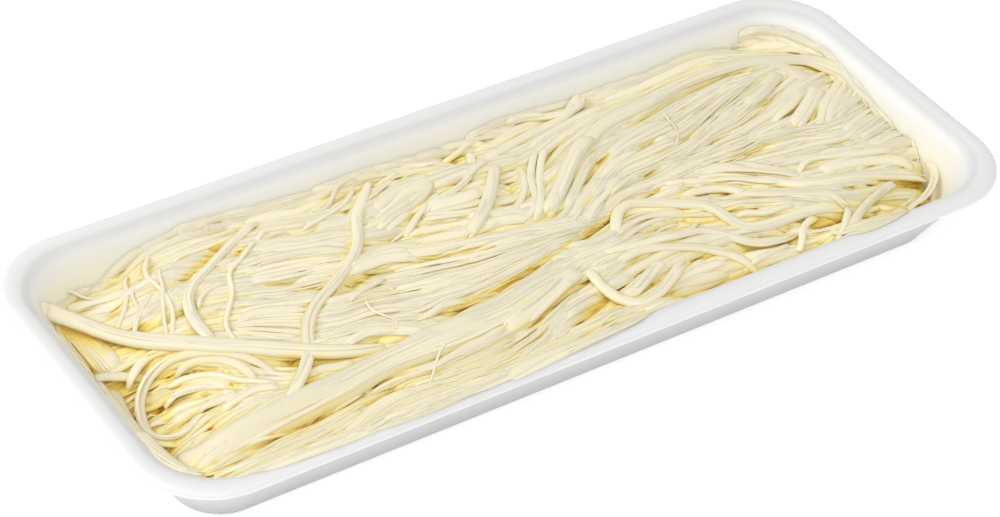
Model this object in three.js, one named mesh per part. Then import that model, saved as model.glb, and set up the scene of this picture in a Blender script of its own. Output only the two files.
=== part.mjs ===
// Pulled string cheese in a long, shallow foam tray.
//
// Millimetres, +Z up. The origin is the middle of the tray's underside: X runs along the tray,
// Y across it, and the tray stands on the plane Z = 0.
//
// Two closed bodies: the tray, one moulded sheet of white foam, and the heap of cheese strands
// that fills it, one solid out to its uneven top.

import * as THREE from "three";

// Tray: outline of the lip's outer edge, seen from above
const RIM_LENGTH = 270;
const RIM_WIDTH = 109.5;
const RIM_CORNER_RADIUS = 22;
// Each millimetre inwards from the rim takes this much off the corner radius
const CORNER_TAPER = 0.57;
const CORNER_STEPS = 8;

// Tray: its wall, cut across. "Inset" is the distance inwards from the rim's outer edge.
const TRAY_HEIGHT = 24;
const FOAM_THICKNESS = 3.2;
const FOOT_INSET = 16.8;
const FOOT_EDGE_INSET = 14.7;
const FOOT_EDGE_HEIGHT = 1.5;
const NECK_INSET = 4.8;
const NECK_HEIGHT = 19.4;
const LIP_UNDERSIDE_INSET = 0.3;
const LIP_UNDERSIDE_HEIGHT = 21.8;
const LIP_EDGE_HEIGHT = 22.6;
const LIP_ROUNDING = 0.6;
const LIP_CREST_INSET = 3.2;
const LIP_BEND_INSET = 6.2;
const INNER_TOP_INSET = 8.0;
const INNER_TOP_HEIGHT = 20.4;
const FLOOR_FILLET_HEIGHT = 3.3;
const FLOOR_FILLET_REACH = 3.85;
const ARC_STEPS = 4;

// Heap: its fill line is the height at which it meets the tray's wall
const WALL_CLEARANCE = 0.4;
const FILLET_CURVE = 1.6;
const FILL_HEIGHT = 16.6;
// Ends of the tray that are less full: each drop grows over a range of X and a range of Y
const FILL_DROPS = [
  { drop: 6.5, overX: [-88, -122], overY: [-40, -16] },
  { drop: 6, overX: [78, 116], overY: [-12, -38] },
];
const FILL_RIPPLE = { height: 0.7, lengthX: 13, lengthY: 17, skew: 41, shift: 0.7 };
// The heap's crown stands this far above the fill line, and rises over this distance
const CROWN_RISE = 4.2;
const CROWN_SHOULDER = 15;
const HOLLOW = { x: -114, y: 2, halfLength: 13, halfWidth: 16, depth: 4.5 };
// Parallel furrows between neighbouring bundles of strands, and the waves that bend them
const FURROW_SPACING = 11;
const FURROW_DEPTH = 0.55;
const FURROW_WAVES = [
  { reach: 7, length: 38, shift: 0 },
  { reach: 3, length: 15, shift: 1 },
];
const CELLS_ALONG = 72;
const CELLS_ACROSS = 34;
// How much the grid's lines crowd towards the two ends, where the outline turns its corners
const END_CROWDING = 0.28;

// Thick bundles that lie on the heap: route over the heap, half width and rise
const BUNDLES = [
  { route: [[-126, 30], [-109, 12], [-94, 0], [-66, -16], [-38, -24]], halfWidth: 4, rise: 2.4 },
  { route: [[-26, 37], [-38, 20], [-54, 4], [-69, -10]], halfWidth: 3.6, rise: 2.2 },
  { route: [[-112, -34], [-84, -29], [-48, -29], [-20, -26], [8, -15]], halfWidth: 6, rise: 2.2 },
  { route: [[-56, -15], [-20, -12], [6, -5], [30, 4]], halfWidth: 6, rise: 1.8 },
  { route: [[-62, 36], [-24, 36], [0, 33], [30, 35], [56, 37]], halfWidth: 4, rise: 1.6 },
  { route: [[14, 4], [32, 18], [56, 27], [84, 32], [106, 30], [118, 17]], halfWidth: 5, rise: 2.2 },
  { route: [[4, 28], [0, 17], [-9, 7]], halfWidth: 3.4, rise: 2 },
  { route: [[18, 26], [15, 12], [4, 1]], halfWidth: 3.4, rise: 2 },
  { route: [[50, -6], [62, -21], [78, -27], [98, -26]], halfWidth: 3.6, rise: 2 },
  { route: [[6, -22], [24, -21], [46, -28], [62, -33]], halfWidth: 3.6, rise: 2 },
];
const BUNDLE_STEPS = 28;

const FOAM_WHITE = 0xf2f2f0;
const CHEESE_IVORY = 0xf0e6c0;

// Half length, half width and corner radius of the tray's outline at an inset
function outlineAt(inset) {
  return {
    halfLength: RIM_LENGTH / 2 - inset,
    halfWidth: RIM_WIDTH / 2 - inset,
    radius: RIM_CORNER_RADIUS - CORNER_TAPER * inset,
  };
}

// Rounded rectangle at one inset and height, anticlockwise seen from above
function traySectionRing(inset, height) {
  const { halfLength, halfWidth, radius } = outlineAt(inset);
  const ring = [];
  for (let corner = 0; corner < 4; corner++) {
    const centreX = (halfLength - radius) * (corner === 0 || corner === 3 ? 1 : -1);
    const centreY = (halfWidth - radius) * (corner < 2 ? 1 : -1);
    for (let step = 0; step <= CORNER_STEPS; step++) {
      const angle = ((corner + step / CORNER_STEPS) * Math.PI) / 2;
      ring.push([centreX + radius * Math.cos(angle), centreY + radius * Math.sin(angle), height]);
    }
  }
  return ring;
}

// Closed body through a stack of rings with equal counts; each end is closed by a flat fan
function loftRings(rings) {
  const count = rings[0].length;
  const positions = rings.flat(2);
  const indices = [];
  for (let level = 0; level + 1 < rings.length; level++) {
    for (let i = 0; i < count; i++) {
      const next = (i + 1) % count;
      const low = level * count;
      const high = low + count;
      indices.push(low + i, low + next, high + next, low + i, high + next, high + i);
    }
  }
  const closeEnd = (level, facesUp) => {
    const centre = positions.length / 3;
    positions.push(0, 0, rings[level][0][2]);
    for (let i = 0; i < count; i++) {
      const a = level * count + i;
      const b = level * count + ((i + 1) % count);
      indices.push(centre, facesUp ? a : b, facesUp ? b : a);
    }
  };
  closeEnd(0, false);
  closeEnd(rings.length - 1, true);
  return bodyFrom(positions, indices);
}

function bodyFrom(positions, indices) {
  const geometry = new THREE.BufferGeometry();
  geometry.setAttribute("position", new THREE.Float32BufferAttribute(positions, 3));
  geometry.setIndex(indices);
  geometry.computeVertexNormals();
  return geometry;
}

// The tray's wall from the edge of its foot, up the outside, over the lip and down the inside
// to the edge of the floor, as [inset, height]
function trayWallSection() {
  const wall = new THREE.Path();
  wall.moveTo(FOOT_INSET, 0);
  wall.quadraticCurveTo(FOOT_EDGE_INSET, 0, FOOT_EDGE_INSET, FOOT_EDGE_HEIGHT);
  wall.lineTo(NECK_INSET, NECK_HEIGHT);
  wall.quadraticCurveTo(LIP_CREST_INSET, LIP_UNDERSIDE_HEIGHT, LIP_UNDERSIDE_INSET, LIP_UNDERSIDE_HEIGHT);
  wall.lineTo(0, LIP_EDGE_HEIGHT);
  wall.quadraticCurveTo(LIP_ROUNDING, TRAY_HEIGHT, LIP_CREST_INSET, TRAY_HEIGHT);
  wall.quadraticCurveTo(LIP_BEND_INSET, TRAY_HEIGHT, INNER_TOP_INSET, INNER_TOP_HEIGHT);
  const slope = (FOOT_EDGE_INSET - NECK_INSET) / (NECK_HEIGHT - FOOT_EDGE_HEIGHT);
  const filletTop = FOAM_THICKNESS + FLOOR_FILLET_HEIGHT;
  const filletTopInset = INNER_TOP_INSET + slope * (INNER_TOP_HEIGHT - filletTop);
  const cornerInset = INNER_TOP_INSET + slope * (INNER_TOP_HEIGHT - FOAM_THICKNESS);
  const floorInset = cornerInset + FLOOR_FILLET_REACH;
  wall.lineTo(filletTopInset, filletTop);
  wall.quadraticCurveTo(cornerInset, FOAM_THICKNESS, floorInset, FOAM_THICKNESS);
  return { points: wall.getPoints(ARC_STEPS), slope, filletTop, filletTopInset, floorInset };
}

const wallSection = trayWallSection();

function foamTray() {
  return loftRings(wallSection.points.map((point) => traySectionRing(point.x, point.y)));
}

// Inset of the heap's side at a height: the tray's inner wall, with its floor fillet
function heapInset(height) {
  const { slope, filletTop, filletTopInset, floorInset } = wallSection;
  if (height >= filletTop) {
    return filletTopInset - slope * (height - filletTop) + WALL_CLEARANCE;
  }
  const down = (filletTop - height) / (filletTop - FOAM_THICKNESS);
  const inwards = (floorInset - filletTopInset) * down ** FILLET_CURVE;
  return filletTopInset + inwards + WALL_CLEARANCE * (1 + down);
}

// Climbs smoothly from 0 at one value to 1 at the other, either way round
function ramp(from, to, value) {
  return THREE.MathUtils.smootherstep((value - from) / (to - from), 0, 1);
}

// Height at which the heap meets the wall, spread over the whole plan
function fillLine(x, y) {
  const { height, lengthX, lengthY, skew, shift } = FILL_RIPPLE;
  let fill = FILL_HEIGHT + height * Math.sin(x / lengthX + shift) * Math.cos(y / lengthY + x / skew);
  for (const { drop, overX, overY } of FILL_DROPS) {
    fill -= drop * ramp(...overX, x) * ramp(...overY, y);
  }
  return fill;
}

const bundleRoutes = BUNDLES.map(({ route, halfWidth, rise }) => {
  const curve = new THREE.CatmullRomCurve3(route.map(([x, y]) => new THREE.Vector3(x, y, 0)));
  return { points: curve.getPoints(BUNDLE_STEPS), halfWidth, rise };
});

// Rise of the highest bundle over a point
function bundleRise(x, y) {
  let highest = 0;
  for (const { points, halfWidth, rise } of bundleRoutes) {
    const nearest = Math.min(...points.map((point) => Math.hypot(point.x - x, point.y - y)));
    highest = Math.max(highest, rise * Math.exp(-((nearest / halfWidth) ** 2)));
  }
  return highest;
}

// Height of the heap's top above the fill line, zero along the wall
function crownRise(x, y) {
  const inset = heapInset(FILL_HEIGHT);
  const { halfLength, halfWidth } = outlineAt(inset);
  const fromWall = Math.min(halfLength - Math.abs(x), halfWidth - Math.abs(y));
  const shoulder = ramp(0, CROWN_SHOULDER, fromWall);
  const fromHollow = Math.hypot((x - HOLLOW.x) / HOLLOW.halfLength, (y - HOLLOW.y) / HOLLOW.halfWidth);
  const hollow = HOLLOW.depth * Math.exp(-(fromHollow ** 2));
  const bend = FURROW_WAVES.reduce((sum, { reach, length, shift }) => {
    return sum + reach * Math.sin(x / length + shift);
  }, 0);
  const furrow = FURROW_DEPTH * Math.cos((2 * Math.PI * (y + bend)) / FURROW_SPACING);
  return shoulder * (CROWN_RISE - hollow + furrow + bundleRise(x, y));
}

// A place in the rounded outline: u runs from -1 to 1 along it, v from -1 to 1 across it
function placeInOutline(u, v, inset) {
  const { halfLength, halfWidth, radius } = outlineAt(inset);
  const x = u * halfLength;
  const intoCorner = Math.max(0, Math.abs(x) - (halfLength - radius));
  const span = halfWidth - radius + Math.sqrt(Math.max(0, radius ** 2 - intoCorner ** 2));
  return [x, v * span];
}

function alongStep(i) {
  const t = (2 * i) / CELLS_ALONG - 1;
  return (1 - END_CROWDING) * t + END_CROWDING * Math.sin((Math.PI * t) / 2);
}

function acrossStep(j) {
  return (2 * j) / CELLS_ACROSS - 1;
}

function topPoint(i, j) {
  const [u, v] = [alongStep(i), acrossStep(j)];
  const [planX, planY] = placeInOutline(u, v, heapInset(FILL_HEIGHT));
  const fill = fillLine(planX, planY);
  const [x, y] = placeInOutline(u, v, heapInset(fill));
  const onBorder = i === 0 || i === CELLS_ALONG || j === 0 || j === CELLS_ACROSS;
  return [x, y, fill + (onBorder ? 0 : crownRise(x, y))];
}

// Grid places round the border, anticlockwise seen from above
function borderPlaces() {
  const places = [];
  for (let i = 0; i < CELLS_ALONG; i++) places.push([i, 0]);
  for (let j = 0; j < CELLS_ACROSS; j++) places.push([CELLS_ALONG, j]);
  for (let i = CELLS_ALONG; i > 0; i--) places.push([i, CELLS_ACROSS]);
  for (let j = CELLS_ACROSS; j > 0; j--) places.push([0, j]);
  return places;
}

function cheeseHeap() {
  const positions = [];
  const indices = [];
  const rowLength = CELLS_ACROSS + 1;
  for (let i = 0; i <= CELLS_ALONG; i++) {
    for (let j = 0; j <= CELLS_ACROSS; j++) {
      positions.push(...topPoint(i, j));
    }
  }
  for (let i = 0; i < CELLS_ALONG; i++) {
    for (let j = 0; j < CELLS_ACROSS; j++) {
      const a = i * rowLength + j;
      const b = a + rowLength;
      indices.push(a, b, b + 1, a, b + 1, a + 1);
    }
  }

  // The side goes down from the border along the tray's wall to the floor
  const border = borderPlaces();
  const floorHeight = FOAM_THICKNESS + WALL_CLEARANCE;
  const sideHeights = [wallSection.filletTop, (wallSection.filletTop + floorHeight) / 2, floorHeight];
  let upper = border.map(([i, j]) => i * rowLength + j);
  for (const height of sideHeights) {
    const lower = border.map(([i, j]) => {
      positions.push(...placeInOutline(alongStep(i), acrossStep(j), heapInset(height)), height);
      return positions.length / 3 - 1;
    });
    for (let k = 0; k < border.length; k++) {
      const next = (k + 1) % border.length;
      indices.push(lower[k], lower[next], upper[next], lower[k], upper[next], upper[k]);
    }
    upper = lower;
  }
  const centre = positions.length / 3;
  positions.push(0, 0, floorHeight);
  for (let k = 0; k < border.length; k++) {
    indices.push(centre, upper[(k + 1) % border.length], upper[k]);
  }
  return bodyFrom(positions, indices);
}

function namedMesh(name, geometry, color, roughness) {
  const material = new THREE.MeshStandardMaterial({ color, roughness, metalness: 0 });
  const mesh = new THREE.Mesh(geometry, material);
  mesh.name = name;
  return mesh;
}

const part = new THREE.Group();
part.add(namedMesh("foam_tray", foamTray(), FOAM_WHITE, 0.6));
part.add(namedMesh("cheese_strands", cheeseHeap(), CHEESE_IVORY, 0.45));

export default part;
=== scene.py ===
import math
import random

import bmesh
import bpy
import numpy as np
from mathutils import Matrix, Vector
from mathutils.bvhtree import BVHTree


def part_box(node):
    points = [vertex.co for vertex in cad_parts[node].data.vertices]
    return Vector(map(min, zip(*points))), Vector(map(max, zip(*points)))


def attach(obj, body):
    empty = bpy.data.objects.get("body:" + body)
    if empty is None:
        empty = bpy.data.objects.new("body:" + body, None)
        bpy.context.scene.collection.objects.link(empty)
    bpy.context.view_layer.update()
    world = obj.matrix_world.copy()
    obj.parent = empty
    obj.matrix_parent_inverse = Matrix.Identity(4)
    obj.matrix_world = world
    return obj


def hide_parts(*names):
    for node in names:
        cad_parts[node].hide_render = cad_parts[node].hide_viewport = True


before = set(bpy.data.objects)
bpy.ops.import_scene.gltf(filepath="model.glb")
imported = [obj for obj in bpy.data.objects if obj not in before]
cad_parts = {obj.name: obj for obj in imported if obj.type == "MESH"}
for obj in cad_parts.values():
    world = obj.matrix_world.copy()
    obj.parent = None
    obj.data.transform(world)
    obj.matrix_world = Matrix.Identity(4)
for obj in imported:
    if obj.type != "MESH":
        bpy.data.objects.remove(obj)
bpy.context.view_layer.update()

MM = 0.001


# ---- Camera ----
# A long lens on a stand, looking down over the tray's near right corner and rolled a few degrees.
# Lines of sight through places in its frame are also how the strands below were laid out.

FRAME_WIDTH = 1000
FRAME_HEIGHT = 517
SENSOR_WIDTH = 36.0
FOCAL_LENGTH = 112.1
VIEW_AZIMUTH = math.radians(-36.43)
VIEW_ELEVATION = math.radians(39.45)
VIEW_ROLL = math.radians(4.53)
VIEW_DISTANCE = 852 * MM
SHIFT_RIGHT = 3.35 * MM
SHIFT_UP = -7.67 * MM
NEAREST_DRAWN = 50 * MM
FARTHEST_DRAWN = 20

looking = Vector((
    -math.sin(VIEW_AZIMUTH) * math.cos(VIEW_ELEVATION),
    math.cos(VIEW_AZIMUTH) * math.cos(VIEW_ELEVATION),
    -math.sin(VIEW_ELEVATION),
))
level_right = Vector((math.cos(VIEW_AZIMUTH), math.sin(VIEW_AZIMUTH), 0))
level_up = level_right.cross(looking)
frame_right = math.cos(VIEW_ROLL) * level_right + math.sin(VIEW_ROLL) * level_up
frame_up = math.cos(VIEW_ROLL) * level_up - math.sin(VIEW_ROLL) * level_right
eye = -SHIFT_RIGHT * frame_right - SHIFT_UP * frame_up - VIEW_DISTANCE * looking

camera_data = bpy.data.cameras.new("camera")
camera_data.sensor_width = SENSOR_WIDTH
camera_data.lens = FOCAL_LENGTH
camera_data.clip_start = NEAREST_DRAWN
camera_data.clip_end = FARTHEST_DRAWN
camera = bpy.data.objects.new("camera", camera_data)
turn = Matrix((frame_right, frame_up, -looking)).transposed()
camera.matrix_world = Matrix.Translation(eye) @ turn.to_4x4()
bpy.context.scene.collection.objects.link(camera)
bpy.context.scene.camera = camera


# ---- Floor and light ----
# A pale table top in a white room, lit by three softboxes: a wide one overhead, a small one from the
# far left that draws the strands' ridges out, and one from the near left that fills their shadows.

FLOOR_SIZE = 6.0
FLOOR_COLOUR = (0.88, 0.88, 0.88, 1)
FLOOR_ROUGHNESS = 0.9
FLOOR_GLOW = 0.42
WHITE = (1, 1, 1, 1)
ROOM_LIGHT = 0.56
TOP_SOFTBOX_SIZE = 1.6
TOP_SOFTBOX_PLACE = (-0.15, 0.1, 1.5)
TOP_SOFTBOX_POWER = 2
KEY_SOFTBOX_SIZE = 0.6
KEY_SOFTBOX_PLACE = (-1.0, 0.75, 0.95)
KEY_SOFTBOX_POWER = 8.5
FILL_SOFTBOX_SIZE = 1.0
FILL_SOFTBOX_PLACE = (-0.4, -0.85, 1.1)
FILL_SOFTBOX_POWER = 8

floor_shape = bmesh.new()
bmesh.ops.create_grid(floor_shape, x_segments=2, y_segments=2, size=FLOOR_SIZE / 2)
floor_mesh = bpy.data.meshes.new("floor")
floor_shape.to_mesh(floor_mesh)
floor_shape.free()
floor = bpy.data.objects.new("floor", floor_mesh)
bpy.context.scene.collection.objects.link(floor)
floor_paint = bpy.data.materials.new("matt white table")
floor_paint.use_nodes = True
floor_skin = floor_paint.node_tree.nodes["Principled BSDF"]
floor_skin.inputs["Base Color"].default_value = FLOOR_COLOUR
floor_skin.inputs["Roughness"].default_value = FLOOR_ROUGHNESS
floor_skin.inputs["Emission Color"].default_value = WHITE
floor_skin.inputs["Emission Strength"].default_value = FLOOR_GLOW
floor_mesh.materials.append(floor_paint)

room = bpy.data.worlds.new("room")
room.use_nodes = True
room_walls = room.node_tree.nodes["Background"]
room_walls.inputs["Color"].default_value = WHITE
room_walls.inputs["Strength"].default_value = ROOM_LIGHT
bpy.context.scene.world = room


def hang_softbox(name, place, size, power):
    """A square softbox that faces the middle of the tray."""
    lamp = bpy.data.lights.new(name, "AREA")
    lamp.shape = "SQUARE"
    lamp.size = size
    lamp.energy = power
    softbox = bpy.data.objects.new(name, lamp)
    aim = -Vector(place)
    softbox.rotation_euler = aim.to_track_quat("-Z", "Y").to_euler()
    softbox.location = place
    bpy.context.scene.collection.objects.link(softbox)


hang_softbox("top_softbox", TOP_SOFTBOX_PLACE, TOP_SOFTBOX_SIZE, TOP_SOFTBOX_POWER)
hang_softbox("key_softbox", KEY_SOFTBOX_PLACE, KEY_SOFTBOX_SIZE, KEY_SOFTBOX_POWER)
hang_softbox("fill_softbox", FILL_SOFTBOX_PLACE, FILL_SOFTBOX_SIZE, FILL_SOFTBOX_POWER)
bpy.context.scene.view_settings.view_transform = "Standard"
bpy.context.scene.view_settings.look = "None"


# ---- Foam tray ----
# One sheet of white foam, moulded hot over a form: a flat foot, sloping walls, an outward lip
# and round corners. Its skin is satin with faint beads.

TRAY_CORNER = 22 * MM
TRAY_CORNER_TAPER = 0.57
TRAY_OUTLINE_SIDES = 144
FOAM = 3.2 * MM
# The wall cut across, as (inset from the rim, height) in millimetres, from foot to floor
TRAY_SECTION = [
    (16.8, 0), (15.9, 0.1), (15.2, 0.45), (14.8, 0.95), (14.6, 1.5), (9.7, 10.4), (4.8, 19.4),
    (4.1, 20.5), (3.3, 21.2), (2.2, 21.6), (0.5, 21.8), (0.15, 22.05), (0, 22.5), (0.12, 23.1),
    (0.6, 23.65), (1.5, 23.95), (2.9, 24), (4.2, 23.8), (5.4, 23.3), (6.6, 22.4), (7.5, 21.3),
    (8.2, 20.1), (12.0, 13.1), (15.6, 6.5), (16.5, 5.1), (17.8, 3.95), (19.3, 3.35), (21.2, 3.2),
]
OUTER_LIP_EDGE = (0.5, 21.8)
INNER_LIP_EDGE = (5.4, 23.3)

tray_low, tray_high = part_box("foam_tray")
tray_half = (tray_high - tray_low) / 2


def outline_place(turn_share, inset):
    """Place on the tray's rounded outline, one corner and the side after it for each quarter."""
    radius = TRAY_CORNER - TRAY_CORNER_TAPER * inset
    straight_x = tray_half.x - inset - radius
    straight_y = tray_half.y - inset - radius
    quarter = int(turn_share * 4) % 4
    along = turn_share * 4 - int(turn_share * 4)
    corner_x = straight_x * (1 if quarter in (0, 3) else -1)
    corner_y = straight_y * (1 if quarter < 2 else -1)
    in_corner = min(along * 2, 1)
    angle = (quarter + in_corner) * math.pi / 2
    x = corner_x + radius * math.cos(angle)
    y = corner_y + radius * math.sin(angle)
    on_side = max(along * 2 - 1, 0)
    if quarter % 2 == 0:
        return x - 2 * corner_x * on_side, y
    return x, y - 2 * corner_y * on_side


tray_shape = bmesh.new()
last_ring = None
for step, (inset_mm, height_mm) in enumerate(TRAY_SECTION):
    closes = step in (0, len(TRAY_SECTION) - 1)
    ring = bmesh.ops.create_circle(tray_shape, segments=TRAY_OUTLINE_SIDES, radius=1, cap_ends=closes)
    edges = {edge for vertex in ring["verts"] for edge in vertex.link_edges}
    for number, vertex in enumerate(ring["verts"]):
        x, y = outline_place(number / TRAY_OUTLINE_SIDES, inset_mm * MM)
        vertex.co = (x, y, height_mm * MM)
    if last_ring:
        bmesh.ops.bridge_loops(tray_shape, edges=list(last_ring | edges))
    last_ring = edges
bmesh.ops.recalc_face_normals(tray_shape, faces=tray_shape.faces)
for face in tray_shape.faces:
    face.smooth = len(face.verts) == 4
tray_mesh = bpy.data.meshes.new("tray")
tray_shape.to_mesh(tray_mesh)
tray_shape.free()

# The foam's tint, with painted light and shade: from 0 at the foot's outside, greyed by painted shade,
# through a darker lip side and 0.5 on the lip, to 1 where the film that the cheese leaves is thickest; the
# inside wall is painted lighter, and its yellow is partly that film and partly painted warm light bounced
# off the cheese
FILM_AND_BOUNCE_TOP = 22.5 * MM
FILM_AND_BOUNCE_DEPTH = 8 * MM
OUTSIDE_SHADE_TINT = 0.26
LIP_SIDE_SHADE_TINT = 0.4
LIP_TINT = 0.5
LIP_SIDE_TOP = 23.3 * MM

foam_shade_light_film = tray_mesh.attributes.new("foam_shade_light_film", "FLOAT", "POINT")
for number, vertex in enumerate(tray_mesh.vertices):
    ring = number // TRAY_OUTLINE_SIDES
    if ring > TRAY_SECTION.index(INNER_LIP_EDGE):
        film = min(max((FILM_AND_BOUNCE_TOP - vertex.co.z) / FILM_AND_BOUNCE_DEPTH, 0), 1)
        foam_shade_light_film.data[number].value = LIP_TINT + (1 - LIP_TINT) * film
    elif ring < TRAY_SECTION.index(OUTER_LIP_EDGE):
        foam_shade_light_film.data[number].value = OUTSIDE_SHADE_TINT * vertex.co.z / FILM_AND_BOUNCE_TOP
    else:
        foam_shade_light_film.data[number].value = LIP_SIDE_SHADE_TINT if vertex.co.z < LIP_SIDE_TOP else LIP_TINT
tray = bpy.data.objects.new("tray", tray_mesh)
bpy.context.scene.collection.objects.link(tray)

FOAM_ROUGHNESS = 0.48
FOAM_LIGHT_SHARE = 0.6
FOAM_LIGHT_DEPTH = 4 * MM
# Painted shade greys the foot's outside and the lip's outer side, painted light brightens the inside wall,
# and the film's cream is partly painted bounce light off the cheese
FOOT_SHADE_COLOUR = (0.46, 0.465, 0.47, 1)
LIP_COLOUR = (0.735, 0.735, 0.73, 1)
INSIDE_LIT_COLOUR = (0.825, 0.825, 0.81, 1)
INSIDE_LIT_TINT = 0.58
FILM_AND_BOUNCE_COLOUR = (0.85, 0.815, 0.67, 1)
BEADS_PER_METRE = 620
BEAD_STRENGTH = 0.12
BEAD_HEIGHT = 0.05 * MM


def read_stored(nodes, name):
    """A node that reads a value stored on the mesh."""
    reader = nodes.new("ShaderNodeAttribute")
    reader.attribute_name = name
    return reader


foam = bpy.data.materials.new("white bead foam")
foam.use_nodes = True
foam_nodes = foam.node_tree.nodes
foam_links = foam.node_tree.links
foam_skin = foam_nodes["Principled BSDF"]
foam_skin.inputs["Roughness"].default_value = FOAM_ROUGHNESS
foam_skin.inputs["Subsurface Weight"].default_value = FOAM_LIGHT_SHARE
foam_skin.inputs["Subsurface Radius"].default_value = (1, 1, 1)
foam_skin.inputs["Subsurface Scale"].default_value = FOAM_LIGHT_DEPTH
foam_shade_light_film_read = read_stored(foam_nodes, "foam_shade_light_film")
foam_colours = foam_nodes.new("ShaderNodeValToRGB")
foam_colours.color_ramp.elements[0].color = FOOT_SHADE_COLOUR
foam_colours.color_ramp.elements[1].color = FILM_AND_BOUNCE_COLOUR
lip_foam = foam_colours.color_ramp.elements.new(LIP_TINT)
lip_foam.color = LIP_COLOUR
inside_lit_foam = foam_colours.color_ramp.elements.new(INSIDE_LIT_TINT)
inside_lit_foam.color = INSIDE_LIT_COLOUR
foam_links.new(foam_shade_light_film_read.outputs["Fac"], foam_colours.inputs["Fac"])
foam_links.new(foam_colours.outputs["Color"], foam_skin.inputs["Base Color"])
foam_place = foam_nodes.new("ShaderNodeTexCoord")
foam_beads = foam_nodes.new("ShaderNodeTexVoronoi")
foam_beads.inputs["Scale"].default_value = BEADS_PER_METRE
foam_links.new(foam_place.outputs["Object"], foam_beads.inputs["Vector"])
foam_bump = foam_nodes.new("ShaderNodeBump")
foam_bump.inputs["Strength"].default_value = BEAD_STRENGTH
foam_bump.inputs["Distance"].default_value = BEAD_HEIGHT
foam_links.new(foam_beads.outputs["Distance"], foam_bump.inputs["Height"])
foam_links.new(foam_bump.outputs["Normal"], foam_skin.inputs["Normal"])
tray_mesh.materials.append(foam)
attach(tray, "root")
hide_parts("foam_tray")


# ---- Cheese bed ----
# What lies under the pulled strands: cheese packed close enough to read as one mass. It follows
# the heap, sunk below the strands, and shows only at the bottom of the gaps, where painted golden shade
# darkens it.

# The plan is measured in cells of this size
CELL = 0.5 * MM
FAR_FROM_TRAY = 0.1

cells_x = int(2 * tray_half.x / CELL) + 1
cells_y = int(2 * tray_half.y / CELL) + 1
cell_x = np.linspace(-tray_half.x, tray_half.x, cells_x)
cell_y = np.linspace(-tray_half.y, tray_half.y, cells_y)


def heights_of(node, looks_down=True):
    """How high a CAD node's top, or its underside, is over each cell of the plan, 0 where it has none."""
    solid = bmesh.new()
    solid.from_mesh(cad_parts[node].data)
    tree = BVHTree.FromBMesh(solid)
    solid.free()
    heights = np.zeros((cells_x, cells_y))
    start = FAR_FROM_TRAY if looks_down else -FAR_FROM_TRAY
    direction = Vector((0, 0, -1 if looks_down else 1))
    for i, x in enumerate(cell_x):
        for j, y in enumerate(cell_y):
            place, _, _, _ = tree.ray_cast(Vector((x, y, start)), direction)
            if place:
                heights[i, j] = place.z
    return heights


heap_top = heights_of("cheese_strands")
heap_underside = heights_of("cheese_strands", looks_down=False)
tray_top = heights_of("foam_tray")

# Strands cling to the far and right walls above the heap's own edge: (place along the wall, height)
# in millimetres
CLING_FAR = [
    (-123, 12), (-119, 13.6), (-115, 14), (-109, 13.2), (-104, 12.8), (-97, 15.4), (-92, 17.3),
    (-82, 18.5), (-76, 19), (-70, 18.9), (-63, 17.8), (-49, 17.5), (-25, 17.3), (-14, 16.4), (0, 14.7),
    (8, 16.4), (22, 17.6), (30, 17.9), (38, 16.9), (45, 16.4), (56, 17.5), (66, 17.5), (81, 16.9),
    (95, 16.9), (113, 15.4),
]
CLING_RIGHT = [
    (-37, 0), (-34, 8), (-30, 9), (-25, 14.6), (-17, 17), (-10, 15.6), (-2, 14.4), (6, 16.8), (17, 19),
]
CLING_THICKNESS = 1.2 * MM
# Along the near wall they rise to the lip and lap over its inner edge: (place along it, how far out)
LAP_NEAR = [
    (-121, -44), (-115, -50), (-105, -51.3), (-88, -51.8), (-64, -52.6), (-50, -52.8), (-37, -52.5),
    (-22, -51.9), (-10, -50.9), (0, -49.8), (10, -48.2), (20, -45), (26, -44), (74, -44), (82, -50.4),
    (90, -49.9), (97, -47.4), (103, -44),
]
LAP_THICKNESS = 0.9 * MM
# How high the heap stands beside the lip it laps over: (distance out, height)
NEAR_RISE = [(-52, 24.6), (-49, 24.4), (-46, 23.4), (-42, 21.6), (-37, 19.4)]
# Shares of the tray's half width and half length past which strands cling
CLING_FAR_FROM = 0.25
CLING_RIGHT_FROM = 0.8
# Where the heap meets the far wall it stands at least this much above what clings there
FAR_RISE_FROM = 36 * MM
FAR_RISE = 0.3 * MM
# Strands lap from here outward, where the lap reaches at least this far out
LAP_FROM = -37 * MM
LAP_LEAST_REACH = -44.5 * MM

plan_x, plan_y = np.meshgrid(cell_x, cell_y, indexing="ij")
cling_far_top = np.interp(plan_x / MM, *zip(*CLING_FAR)) * MM
cling_right_top = np.interp(plan_y / MM, *zip(*CLING_RIGHT)) * MM
bare_wall = (heap_top == 0) & (tray_top > FOAM + MM)
clings_far = bare_wall & (plan_y > CLING_FAR_FROM * tray_half.y) & (tray_top < cling_far_top)
clings_right = bare_wall & (plan_x > CLING_RIGHT_FROM * tray_half.x) & (tray_top < cling_right_top)
heap_top = np.where(clings_far | clings_right, tray_top + CLING_THICKNESS, heap_top)
far_rise = (plan_y > FAR_RISE_FROM) & (heap_top > 0)
heap_top = np.where(far_rise, np.maximum(heap_top, cling_far_top + FAR_RISE), heap_top)
lap_reach = np.interp(plan_x / MM, *zip(*LAP_NEAR)) * MM
laps = (plan_y < LAP_FROM) & (plan_y > lap_reach) & (lap_reach < LAP_LEAST_REACH)
near_rise = np.interp(plan_y / MM, *zip(*NEAR_RISE)) * MM
heap_top = np.where(laps, np.maximum(np.maximum(near_rise, tray_top + LAP_THICKNESS), heap_top), heap_top)
in_heap = heap_top > 0

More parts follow.
